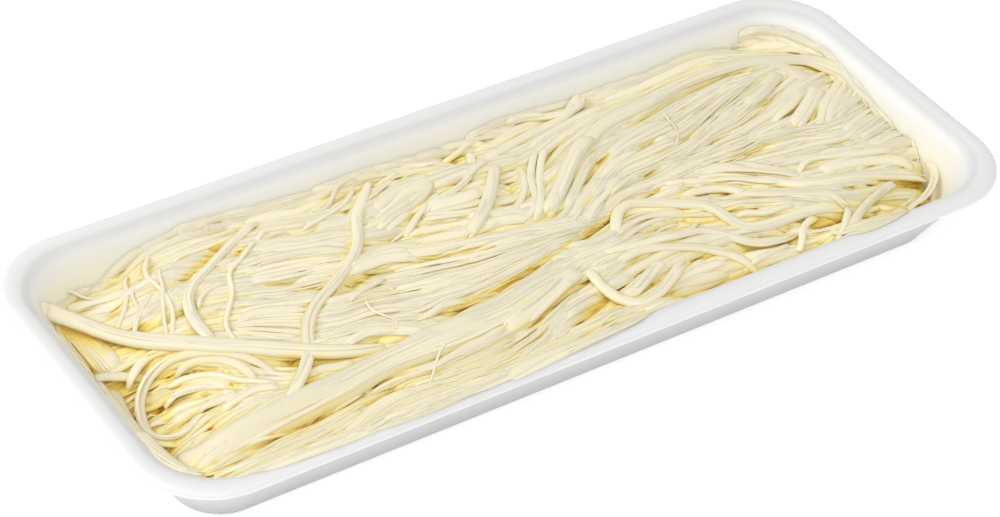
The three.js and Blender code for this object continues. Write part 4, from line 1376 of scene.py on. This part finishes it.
# (width in mm, stiffness in mm, first end cut, last end cut, places along it in the frame)
LOOSE_STRANDS = [
    # far left corner
    (1.4, 3, 0, 0, [(150, 251), (146, 264), (146, 275), (154, 283), (163, 292), (170, 302), (173, 315),
                    (173, 328), (172, 340)]),
    (1.3, 3, 0, 0, [(158, 264), (160, 276), (163, 288), (163, 302), (164, 318), (166, 330),
                    (168, 341)]),
    (1.4, 3, 0, 0, [(128, 272), (125, 284), (128, 293), (126, 302), (124, 312), (119, 325),
                    (116, 336)]),
    (1.1, 3, 0, 0, [(141, 276), (136, 285), (132, 294), (135, 303), (138, 309), (136, 318), (134, 328),
                    (133, 339)]),
    (1.1, 3, 0, 0, [(154, 291), (148, 300), (143, 308), (139, 318), (136, 329), (134, 340)]),
    (0.9, 3, 0, 0, [(66, 288), (75, 293), (85, 298), (93, 299), (103, 295), (112, 292), (120, 288)]),
    (0.9, 3, 0, 0, [(68, 311), (76, 306), (84, 303), (91, 300)]),
    (1.3, 3, 0, 0, [(170, 263), (182, 256), (196, 251), (208, 247), (222, 241), (238, 234)]),
    (1.4, 3, 0, 0, [(188, 243), (200, 241), (212, 238), (226, 233), (242, 228)]),
    # left middle
    (1.5, 4, 0, 0, [(230, 281), (216, 286), (206, 292), (200, 300), (198, 309)]),
    (1.5, 4, 0, 0, [(232, 289), (221, 296), (215, 304), (214, 314)]),
    (1.2, 4, 0, 0, [(253, 290), (245, 298), (241, 306), (238, 314)]),
    (1.3, 4, 0, 0, [(222, 311), (213, 317), (208, 326)]),
    (1.4, 3, 0, 0, [(264, 237), (254, 242), (246, 252), (240, 260), (232, 268), (229, 276), (232, 288),
                    (231, 300), (228, 311), (226, 322), (229, 332), (236, 340), (242, 347)]),
    (1.6, 4, 0, 0, [(255, 241), (263, 232), (276, 229), (291, 227), (312, 224)]),
    (1.4, 4, 0, 0, [(306, 217), (318, 213), (328, 206), (333, 197), (337, 188), (347, 181),
                    (360, 179)]),
    (1.5, 4, 0, 0, [(300, 229), (315, 222), (330, 214), (343, 205), (350, 196), (354, 187)]),
    (1.2, 3, 0, 0, [(302, 207), (307, 198), (315, 194), (324, 190)]),
    # near left corner
    (1.9, 4, 1, 0, [(96, 378), (110, 377), (125, 377), (140, 378), (152, 380)]),
    (1.5, 4, 1, 0, [(110, 390), (120, 388), (131, 385), (141, 383), (150, 380)]),
    (1.6, 4, 0, 0, [(96, 381), (105, 391), (113, 400), (121, 411)]),
    (0.8, 3, 0, 0, [(47, 325), (55, 340), (66, 354), (80, 368), (93, 379)]),
    (0.8, 3, 0, 0, [(73, 331), (70, 345), (76, 356), (88, 370), (95, 378)]),
    (1.0, 3, 0, 0, [(90, 346), (98, 341), (110, 337)]),
    (1.3, 3, 0, 0, [(103, 357), (107, 350), (112, 344), (119, 339)]),
    (2.6, 4, 0, 0, [(128, 384), (135, 372), (142, 362), (152, 355), (166, 350), (184, 345)]),
    (2.6, 4, 0, 0, [(198, 409), (211, 404), (224, 399), (243, 392)]),
    (2.5, 4, 0, 0, [(221, 409), (233, 402), (246, 394), (260, 388), (283, 386)]),
    (1.6, 4, 0, 0, [(165, 382), (172, 384), (183, 380), (194, 377), (206, 375), (222, 376), (238, 380),
                    (262, 382), (286, 384)]),
    (2.0, 4, 0, 0, [(176, 372), (185, 366), (196, 362), (207, 360), (221, 360), (235, 364), (245, 370),
                    (257, 380)]),
    (0.9, 3, 0, 0, [(148, 409), (153, 416), (157, 422), (161, 429)]),
    (1.0, 3, 0, 0, [(150, 409), (160, 408), (172, 407), (183, 403)]),
    (1.8, 3, 0, 0, [(141, 442), (155, 447), (171, 450), (184, 446)]),
    (1.1, 3, 0, 0, [(205, 412), (212, 409), (219, 413), (225, 420), (230, 428)]),
    (2.3, 5, 0, 0, [(288, 378), (278, 372), (268, 367), (255, 361), (240, 356), (225, 353), (210, 352),
                    (195, 353), (182, 356), (170, 361), (160, 368), (152, 376), (146, 385), (142, 395),
                    (140, 405), (141, 416), (144, 426), (149, 433), (158, 437), (168, 438), (178, 435),
                    (187, 429), (193, 422), (199, 415), (212, 407)]),
    (2.0, 4, 0, 0, [(296, 378), (312, 373), (325, 369), (340, 367), (358, 362)]),
    # over the left middle: the long strand and the strands it crosses
    (3.2, 6, 0, 0, [(264, 217), (252, 224), (243, 234), (232, 243), (222, 253), (211, 265), (200, 277),
                    (192, 288), (188, 299), (190, 311), (195, 321), (203, 331), (212, 339),
                    (222, 346)]),
    (3.4, 6, 0, 1, [(369, 182), (365, 193), (361, 204), (357, 215), (357, 227), (358, 239), (356, 250),
                    (350, 262), (341, 275), (331, 288), (321, 299), (313, 311), (309, 323), (308, 334),
                    (309, 346), (308, 358), (304, 371), (298, 383), (292, 395)]),
    (3.5, 8, 1, 0, [(42, 306), (59, 315), (79, 323), (100, 331), (120, 337), (140, 341), (160, 343),
                    (180, 344), (200, 345), (220, 346), (245, 347), (270, 349), (300, 351), (330, 352),
                    (360, 350), (385, 345)]),
    # middle, far side
    (1.6, 4, 0, 0, [(440, 164), (452, 157), (460, 151), (467, 145), (478, 140)]),
    (2.6, 3, 0, 0, [(468, 150), (471, 158), (472, 166), (469, 175), (464, 183), (455, 190), (445, 196),
                    (430, 205), (420, 213)]),
    (2.2, 3, 0, 0, [(418, 176), (424, 171), (431, 175), (430, 184)]),
    (2.0, 4, 0, 0, [(441, 190), (431, 200), (424, 208), (417, 217), (411, 227), (404, 236)]),
    (1.6, 3, 0, 0, [(429, 216), (423, 226), (416, 235), (409, 244)]),
    (1.6, 4, 0, 0, [(446, 196), (456, 188), (466, 179), (476, 168), (490, 158)]),
    (3.8, 5, 0, 0, [(497, 160), (494, 174), (491, 190), (487, 203), (481, 216), (473, 228),
                    (466, 236)]),
    (2.0, 4, 0, 0, [(520, 164), (524, 178), (524, 192), (518, 205), (508, 215), (494, 223),
                    (482, 228)]),
    (2.2, 5, 0, 0, [(537, 147), (532, 164), (531, 180), (535, 195), (534, 208), (524, 220)]),
    (2.4, 5, 0, 0, [(548, 144), (542, 158), (540, 174), (541, 190), (540, 206), (535, 219)]),
    (1.2, 4, 0, 0, [(503, 170), (508, 164), (516, 163), (523, 168)]),
    (4.8, 6, 0, 0, [(592, 132), (584, 142), (576, 154), (568, 170), (562, 185), (555, 199),
                    (546, 214)]),
    # left of the long fan
    (1.9, 4, 0, 0, [(345, 302), (356, 295), (366, 288), (376, 283), (387, 277)]),
    (1.4, 4, 0, 0, [(350, 307), (363, 300), (374, 293)]),
    (2.3, 5, 0, 0, [(344, 346), (356, 338), (367, 333), (382, 331), (400, 331), (430, 331)]),
    # right: the waves, the big loop and what crosses them
    (1.9, 4, 0, 0, [(680, 197), (690, 193), (701, 191), (713, 189), (726, 189), (738, 191),
                    (752, 193)]),
    (1.4, 3, 0, 0, [(712, 189), (709, 197), (704, 205)]),
    (2.2, 5, 0, 0, [(720, 211), (733, 204), (746, 199), (762, 198)]),
    (1.8, 4, 0, 0, [(735, 214), (750, 213), (766, 213), (782, 208), (798, 204)]),
    (2.2, 5, 0, 0, [(735, 192), (755, 194), (775, 194), (800, 193), (820, 193), (835, 196),
                    (848, 204)]),
    (2.2, 5, 0, 0, [(590, 258), (600, 253), (614, 250), (630, 247), (645, 244), (657, 240), (671, 237),
                    (686, 234), (700, 231), (715, 232), (730, 236), (745, 241), (760, 243), (773, 241),
                    (786, 237), (799, 230)]),
    (2.2, 4, 0, 0, [(612, 264), (625, 257), (640, 251), (655, 248), (672, 247), (690, 247), (706, 249),
                    (721, 252), (736, 257), (750, 264), (760, 270)]),
    (1.7, 3, 0, 0, [(680, 208), (686, 216), (694, 223)]),
    (1.4, 3, 0, 0, [(699, 219), (693, 228), (684, 233), (671, 236), (661, 235)]),
    (1.4, 3, 0, 0, [(664, 231), (672, 228), (684, 225), (695, 222)]),
    (0.9, 3, 0, 0, [(645, 241), (646, 234), (647, 227)]),
    (2.8, 6, 0, 0, [(617, 248), (616, 236), (616, 224), (618, 213), (625, 206), (636, 203), (650, 203),
                    (664, 203), (680, 204), (695, 205), (708, 207), (719, 212), (731, 220), (742, 226),
                    (756, 227), (771, 224), (786, 219), (800, 214), (816, 209), (832, 206),
                    (850, 206)]),
    (2.5, 5, 0, 0, [(582, 262), (590, 272), (600, 284), (610, 293), (622, 300), (636, 303), (648, 300),
                    (660, 292), (669, 282), (677, 271), (686, 256)]),
    (1.6, 4, 0, 0, [(750, 264), (763, 257), (777, 250), (792, 243)]),
    # right end
    (2.3, 6, 0, 0, [(742, 177), (760, 179), (782, 183), (800, 184), (820, 181), (840, 178), (860, 176),
                    (880, 175), (903, 175), (928, 176)]),
    (2.0, 4, 0, 0, [(796, 174), (803, 164), (812, 159), (826, 157), (842, 155), (862, 153), (882, 150),
                    (895, 148)]),
    (1.5, 3, 0, 0, [(893, 147), (896, 153), (893, 158)]),
    (1.8, 3, 0, 1, [(897, 143), (906, 146), (914, 153)]),
    (1.5, 3, 0, 0, [(871, 191), (859, 192), (853, 198), (849, 206), (844, 213)]),
    (2.6, 5, 0, 0, [(897, 180), (886, 188), (875, 197), (864, 208), (856, 219), (849, 231)]),
    (2.0, 4, 0, 0, [(849, 206), (847, 217), (843, 228), (837, 239)]),
    (2.1, 4, 0, 1, [(817, 217), (808, 222), (803, 230), (802, 240), (799, 250)]),
    (1.2, 4, 0, 0, [(838, 82), (842, 92), (845, 103)]),
    (1.5, 3, 0, 0, [(733, 131), (730, 141), (731, 151), (728, 159)]),
    (1.7, 3, 0, 0, [(738, 128), (741, 140), (742, 150), (743, 161)]),
    (1.1, 4, 0, 0, [(683, 42), (688, 52), (694, 61), (696, 70)]),
    (2.2, 4, 0, 0, [(572, 96), (574, 104), (570, 111), (560, 115), (545, 117), (525, 118), (505, 123)]),
]

# Strands wider than these, in millimetres, are flattened and carry ribs
FLAT_FROM = 1.8
RIBBED_FROM = 2
LOOSE_RIBS_PER_MM = 0.9
LOOSE_SINK = 0.3
LOOSE_TIP = 0.55
TORN_DIVE = 1.4
CUT_DIVE = 0.3

for width_mm, stiffness_mm, cut_start, cut_end, places in LOOSE_STRANDS:
    route = even_route(places, points_along(places))
    shape = FLAT if width_mm > FLAT_FROM else ROUND
    width = real_width(width_mm * MM, rough_plan(route), shape)
    plan, height, slope, half_widths = lay_by_sight(
        route, width, shape, LOOSE_SINK, stiffness_mm * MM,
        end_dive=CUT_DIVE if cut_start or cut_end else TORN_DIVE, tip=LOOSE_TIP)
    if cut_start:
        half_widths[: len(half_widths) // 3] = width / 2
    if cut_end:
        half_widths[-(len(half_widths) // 3):] = width / 2
    press_into_pile(plan, height, slope, half_widths, width * shape)
    keep_strand("loose_strands", plan, height, slope, half_widths, shape, cut_start, cut_end)
    if width_mm > RIBBED_FROM:
        add_ribs("loose_strands", plan, half_widths, int(LOOSE_RIBS_PER_MM * width_mm))


# ---- Fine fibres ----
# Hair-thin threads that tear off as the cheese is pulled. A few stand off the heap, and the rest
# lie along the sheets as fine ribs.

# (width in mm, places along it in the frame)
FINE_FIBRES = [
    (0.8, [(446, 343), (440, 351), (437, 360), (434, 371), (430, 384)]),
    (0.8, [(365, 300), (369, 308), (376, 313), (386, 317), (395, 321), (398, 328)]),
    (0.7, [(666, 106), (664, 114), (669, 121), (675, 128), (678, 136), (676, 146)]),
    (0.5, [(660, 117), (668, 121), (675, 127)]),
    (0.8, [(716, 96), (719, 104), (721, 112), (723, 119), (728, 128)]),
    (0.6, [(397, 314), (399, 322), (398, 328)]),
]
FIBRE_STIFFNESS = 2 * MM
FIBRE_LIFT = 0.3 * MM
# The lying ones: how far past a sheet's edges they lie, how they drift across it, which share of its
# length they start in, and how much of it they take up
LYING_FIBRES = 620
LYING_OVERSHOOT = 0.05
LYING_DRIFT = 0.08
LYING_STARTS = (0, 0.5)
LYING_LENGTHS = (0.3, 0.7)
LYING_WIDTHS = (0.4, 0.9)
LYING_SINK = 0.35
LYING_STIFFNESS = 1.6 * MM

for width_mm, places in FINE_FIBRES:
    route = even_route(places, points_along(places))
    plan, height, slope, half_widths = lay_by_sight(route, width_mm * MM, ROUND, 0, FIBRE_STIFFNESS)
    keep_strand("fine_fibres", plan, height + FIBRE_LIFT, slope, half_widths, ROUND)

for _ in range(LYING_FIBRES):
    count, edge, other_edge = chance.choice(COMBED_SHEETS)
    steps = points_along(edge)
    share = chance.uniform(-LYING_OVERSHOOT, 1 + LYING_OVERSHOOT)
    drift = chance.gauss(0, LYING_DRIFT)
    shares = np.linspace(share - drift, share + drift, steps)[:, None]
    route = even_route(edge, steps) * (1 - shares) + even_route(other_edge, steps) * shares
    first = int(steps * chance.uniform(*LYING_STARTS))
    last = first + max(SHORTEST_ROUTE, int(steps * chance.uniform(*LYING_LENGTHS)))
    route = route[first:last]
    if len(route) < SHORTEST_ROUTE:
        continue
    width = chance.uniform(*LYING_WIDTHS) * MM
    plan, height, slope, half_widths = lay_by_sight(route, width, ROUND, LYING_SINK, LYING_STIFFNESS)
    if chance.random() < calm[cell_of(plan[0, 0], plan[0, 1])]:
        continue
    keep_strand("fine_fibres", plan, height, slope, half_widths, ROUND)


# ---- Strand meshes ----
# Every strand is drawn out along its route with a lens-like section, as the dough's grain leaves
# it, and closed to a point or a flat cut at its ends. All are the same cheese as the bed.

# The lower strands sink into the gaps by this share of the gap's depth, but not into the bed
SINK_SHARE = 0.9
SINK_SMOOTHING = 0.8
LEAST_OVER_BED = 0.1 * MM
LOWER_PIECES = ("packed_strands", "wall_strands", "combed_strands", "fine_fibres")
# What lies deeper than this under the other strands is left out
HIDDEN_DEPTH = 1.0 * MM

for name in strands:
    shown = []
    for strand in strands[name]:
        points = strand["points"]
        if name in LOWER_PIECES:
            own_cells = cell_of(points[:, 0], points[:, 1])
            lowest = np.minimum(points[:, 2], bed_top[own_cells] + LEAST_OVER_BED)
            sinks_by = SINK_SHARE * smoothed(gap_depth[own_cells], SINK_SMOOTHING)
            points[:, 2] = np.maximum(points[:, 2] - sinks_by, lowest)
        top = points[:, 2] + strand["radii"] * strand["shape"]
        over = (pile - SINK_SHARE * gap_depth)[cell_of(points[:, 0], points[:, 1])]
        near_top = np.flatnonzero(top - over > -HIDDEN_DEPTH)
        if len(near_top) == 0:
            continue
        first = max(near_top[0] - 2, 0)
        last = min(near_top[-1] + 3, len(points))
        if last - first < FEWEST_POINTS:
            continue
        spacing = 2 if name == "packed_strands" else 1
        for part in ("points", "tilts", "radii"):
            strand[part] = strand[part][first:last:spacing]
        shown.append(strand)
    strands[name] = shown

# The heap's finished surface, and how high the strands around each cell stand
CREST_REACH = 4 * MM
CREST_BLUR = 3

surface = np.where(in_heap, np.maximum(pile - SINK_SHARE * gap_depth, bed_top), 0)
reach_cells = int(CREST_REACH / CELL)
crest = surface.copy()
for off_x in range(-reach_cells, reach_cells + 1, 2):
    for off_y in range(-reach_cells, reach_cells + 1, 2):
        if off_x * off_x + off_y * off_y <= reach_cells * reach_cells:
            crest = np.maximum(crest, np.roll(surface, (off_x, off_y), axis=(0, 1)))
for _ in range(6):
    spread_out = crest.copy()
    for cells, axis in ((CREST_BLUR, 0), (-CREST_BLUR, 0), (CREST_BLUR, 1), (-CREST_BLUR, 1)):
        spread_out += np.roll(crest, cells, axis)
    crest = spread_out / 5


# The further below 1, the fuller the section's sides and its top are than an ellipse's
SIDE_FULLNESS = 0.8
TOP_FULLNESS = 0.85


def section_curve(shape):
    """A strand's section: wide, with a soft edge each side and a slightly fuller top."""
    sides = SECTION_SIDES[shape]
    section = bpy.data.curves.new(f"section_{sides}", "CURVE")
    section.dimensions = "2D"
    spline = section.splines.new("POLY")
    spline.points.add(sides - 1)
    for number, point in enumerate(spline.points):
        angle = -2 * math.pi * (number + 0.5) / sides
        across, up = math.cos(angle), math.sin(angle)
        across = math.copysign(abs(across) ** SIDE_FULLNESS, across)
        up = math.copysign(abs(up) ** TOP_FULLNESS, up)
        point.co = (across, shape * up, 0, 1)
    spline.use_cyclic_u = True
    return bpy.data.objects.new(section.name, section)


# How far past a strand's last point its shoulder and its tip lie, and how thick the shoulder is
SHOULDER_REACH = 0.12 * MM
TIP_REACH = 0.16 * MM
CUT_SHOULDER = 0.9
TORN_SHOULDER = 0.5


def closed_ends(strand):
    """A strand's points, radii and tilts with each end drawn to a point."""
    points, radii, tilts = strand["points"], strand["radii"], strand["tilts"]
    cut_start, cut_end = strand["cuts"]
    outward_start = (points[0] - points[1]) / np.linalg.norm(points[0] - points[1])
    outward_end = (points[-1] - points[-2]) / np.linalg.norm(points[-1] - points[-2])
    points = np.vstack([
        points[0] + outward_start * TIP_REACH,
        points[0] + outward_start * SHOULDER_REACH,
        points,
        points[-1] + outward_end * SHOULDER_REACH,
        points[-1] + outward_end * TIP_REACH,
    ])
    start_radius = radii[0] * (CUT_SHOULDER if cut_start else TORN_SHOULDER)
    end_radius = radii[-1] * (CUT_SHOULDER if cut_end else TORN_SHOULDER)
    radii = np.concatenate([[0, start_radius], radii, [end_radius, 0]])
    tilts = np.concatenate([[tilts[0]] * 2, tilts, [tilts[-1]] * 2])
    return points, radii, tilts


# How far the fibre pattern is moved from one strand to the next, in metres for a full tone
GRAIN_SHIFT = 0.5


def strand_mesh(name, shape):
    """One mesh of all the strands of a piece that share a section."""
    members = [strand for strand in strands[name] if strand["shape"] == shape]
    curve = bpy.data.curves.new(name, "CURVE")
    curve.dimensions = "3D"
    curve.twist_mode = "Z_UP"
    curve.bevel_mode = "OBJECT"
    section = section_curve(shape)
    bpy.context.scene.collection.objects.link(section)
    curve.bevel_object = section
    sides = SECTION_SIDES[shape]
    grain = []
    tones = []
    for strand in members:
        points, radii, tilts = closed_ends(strand)
        spline = curve.splines.new("POLY")
        spline.points.add(len(points) - 1)
        spline.points.foreach_set("co", np.column_stack([points, np.ones(len(points))]).ravel())
        spline.points.foreach_set("radius", radii)
        spline.points.foreach_set("tilt", tilts)
        steps = np.linalg.norm(np.diff(points, axis=0, prepend=points[:1]), axis=1)
        along = np.cumsum(steps)
        grain_place = strand["tone"] * GRAIN_SHIFT
        angles = -2 * math.pi * (np.arange(sides) + 0.5) / sides
        widest = radii.max()
        across = np.outer(np.ones(len(points)), np.cos(angles)) * widest
        up = np.outer(np.ones(len(points)), np.sin(angles)) * widest
        lengthwise = np.outer(along, np.ones(sides))
        grain.append(np.stack([across + grain_place, up, lengthwise], axis=2).reshape(-1, 3))
        tones.append(np.full(len(points) * sides, strand["tone"]))
    holder = bpy.data.objects.new(name, curve)
    bpy.context.scene.collection.objects.link(holder)
    drawn = holder.evaluated_get(bpy.context.evaluated_depsgraph_get())
    mesh = bpy.data.meshes.new_from_object(drawn)
    bpy.data.objects.remove(holder)
    bpy.data.objects.remove(section)
    stored_grain = mesh.attributes.new("grain", "FLOAT_VECTOR", "POINT")
    stored_grain.data.foreach_set("vector", np.vstack(grain).ravel())
    mesh.attributes.new("tone", "FLOAT", "POINT").data.foreach_set("value", np.concatenate(tones))
    return mesh


# How far off a point looks for what rises around it, in millimetres, and in how many directions
SHADE_REACHES = (0.8, 1.4, 2.2, 3.4)
SHADE_DIRECTIONS = 12
# What being hemmed in, lying below the crests and lying in a gap add to the painted golden shade
HEMMED_SHADE_SHARE = 0.58
BELOW_SHADE_SHARE = 0.04
MOST_BELOW = 8
GAP_SHADE_SHARE = 0.34
DEEPEST_GAP = 4 * MM
CALM_GAP_GAIN = 0.45
# Strands on the far and right walls are thin and moist, and the white foam shows through them, so they get
# less painted shade
WALL_PALENESS = 0.5
PALE_ABOVE = 7 * MM
PALE_SPAN = 7 * MM
PALE_NEAR_LIMIT = -25 * MM
PALE_LEFT_LIMIT = -90 * MM
# How strongly the fibres stand up in the skin, and how much less where the cheese lies smooth
FIBRE_RELIEF = 0.45
CALM_SMOOTHNESS = 0.75

wall_height = np.clip((tray_top - PALE_ABOVE) / PALE_SPAN, 0, 1)
foam_shows = wall_height * (plan_y > PALE_NEAR_LIMIT) * (plan_x > PALE_LEFT_LIMIT)


def store_painted_shade(mesh, relief=1, gap_shade_weight=1):
    """Stores the painted shade of each point, from how much it is hemmed in by the strands around it, and
    how its fibres stand up.
    """
    places = np.empty(len(mesh.vertices) * 3)
    mesh.vertices.foreach_get("co", places)
    places = places.reshape(-1, 3)
    painted_shade = np.zeros(len(places))
    for number in range(SHADE_DIRECTIONS):
        angle = 2 * math.pi * number / SHADE_DIRECTIONS
        steepest = np.zeros(len(places))
        for reach_mm in SHADE_REACHES:
            reach = reach_mm * MM
            i, j = cell_of(places[:, 0] + reach * math.cos(angle), places[:, 1] + reach * math.sin(angle))
            steepest = np.maximum(steepest, (surface[i, j] - places[:, 2]) / reach)
        painted_shade += steepest / np.sqrt(1 + steepest ** 2)
    own_cells = cell_of(places[:, 0], places[:, 1])
    below = (crest[own_cells] - places[:, 2]) / MM
    traced_gap_shade = (gap_depth[own_cells] / DEEPEST_GAP) ** 2
    calm_here = calm[own_cells]
    traced_gap_shade *= gap_shade_weight * (1 + CALM_GAP_GAIN * calm_here)
    # The golden colour is painted shade for the crevices and gaps
    golden_shade_amount = HEMMED_SHADE_SHARE * painted_shade / SHADE_DIRECTIONS
    golden_shade_amount = golden_shade_amount + BELOW_SHADE_SHARE * np.clip(below, 0, MOST_BELOW) + GAP_SHADE_SHARE * traced_gap_shade
    golden_shade_amount *= 1 - WALL_PALENESS * foam_shows[own_cells]
    mesh.attributes.new("painted_shade", "FLOAT", "POINT").data.foreach_set("value", golden_shade_amount)
    roughness = FIBRE_RELIEF * relief * (1 - CALM_SMOOTHNESS * calm_here)
    mesh.attributes.new("relief", "FLOAT", "POINT").data.foreach_set("value", roughness)


# Points closer than this are joined, and strands that draw down deeper than this into a gap are finer
JOINED_WITHIN = 0.002 * MM
FINER_FROM_DEPTH = 0.8 * MM
# The fibres stand up less in the strands that lie on top, and a ribbon takes only part of a gap's painted
# shade
SMOOTHER_PIECES = ("loose_strands", "broad_ribbons", "edge_strands")
SMOOTHER_RELIEF = 0.6
RIBBON_GAP_SHADE_WEIGHT = 0.3

for name in strands:
    shapes = sorted({strand["shape"] for strand in strands[name]})
    joined = bmesh.new()
    for shape in shapes:
        part = strand_mesh(name, shape)
        joined.from_mesh(part)
        bpy.data.meshes.remove(part)
    bmesh.ops.remove_doubles(joined, verts=joined.verts, dist=JOINED_WITHIN)
    if name == "combed_strands":
        corners = np.array([vertex.co for vertex in joined.verts])
        in_gap = gap_depth[cell_of(corners[:, 0], corners[:, 1])] > FINER_FROM_DEPTH
        joined.verts.index_update()
        by_gap = [edge for edge in joined.edges if any(in_gap[end.index] for end in edge.verts)]
        bmesh.ops.subdivide_edges(joined, edges=by_gap, cuts=1, use_grid_fill=True)
    for face in joined.faces:
        face.smooth = True
    mesh = bpy.data.meshes.new(name)
    joined.to_mesh(mesh)
    joined.free()
    relief = SMOOTHER_RELIEF if name in SMOOTHER_PIECES else 1
    gap_shade_weight = RIBBON_GAP_SHADE_WEIGHT if name == "broad_ribbons" else 1
    store_painted_shade(mesh, relief, gap_shade_weight)
    mesh.materials.append(cheese)
    piece = bpy.data.objects.new(name, mesh)
    bpy.context.scene.collection.objects.link(piece)
    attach(piece, "root")
    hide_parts("cheese_strands")
    print(name, len(strands[name]), "strands", len(mesh.polygons), "faces")

# What shows of the bed between the strands gets painted shade as they do
store_painted_shade(bed_mesh)
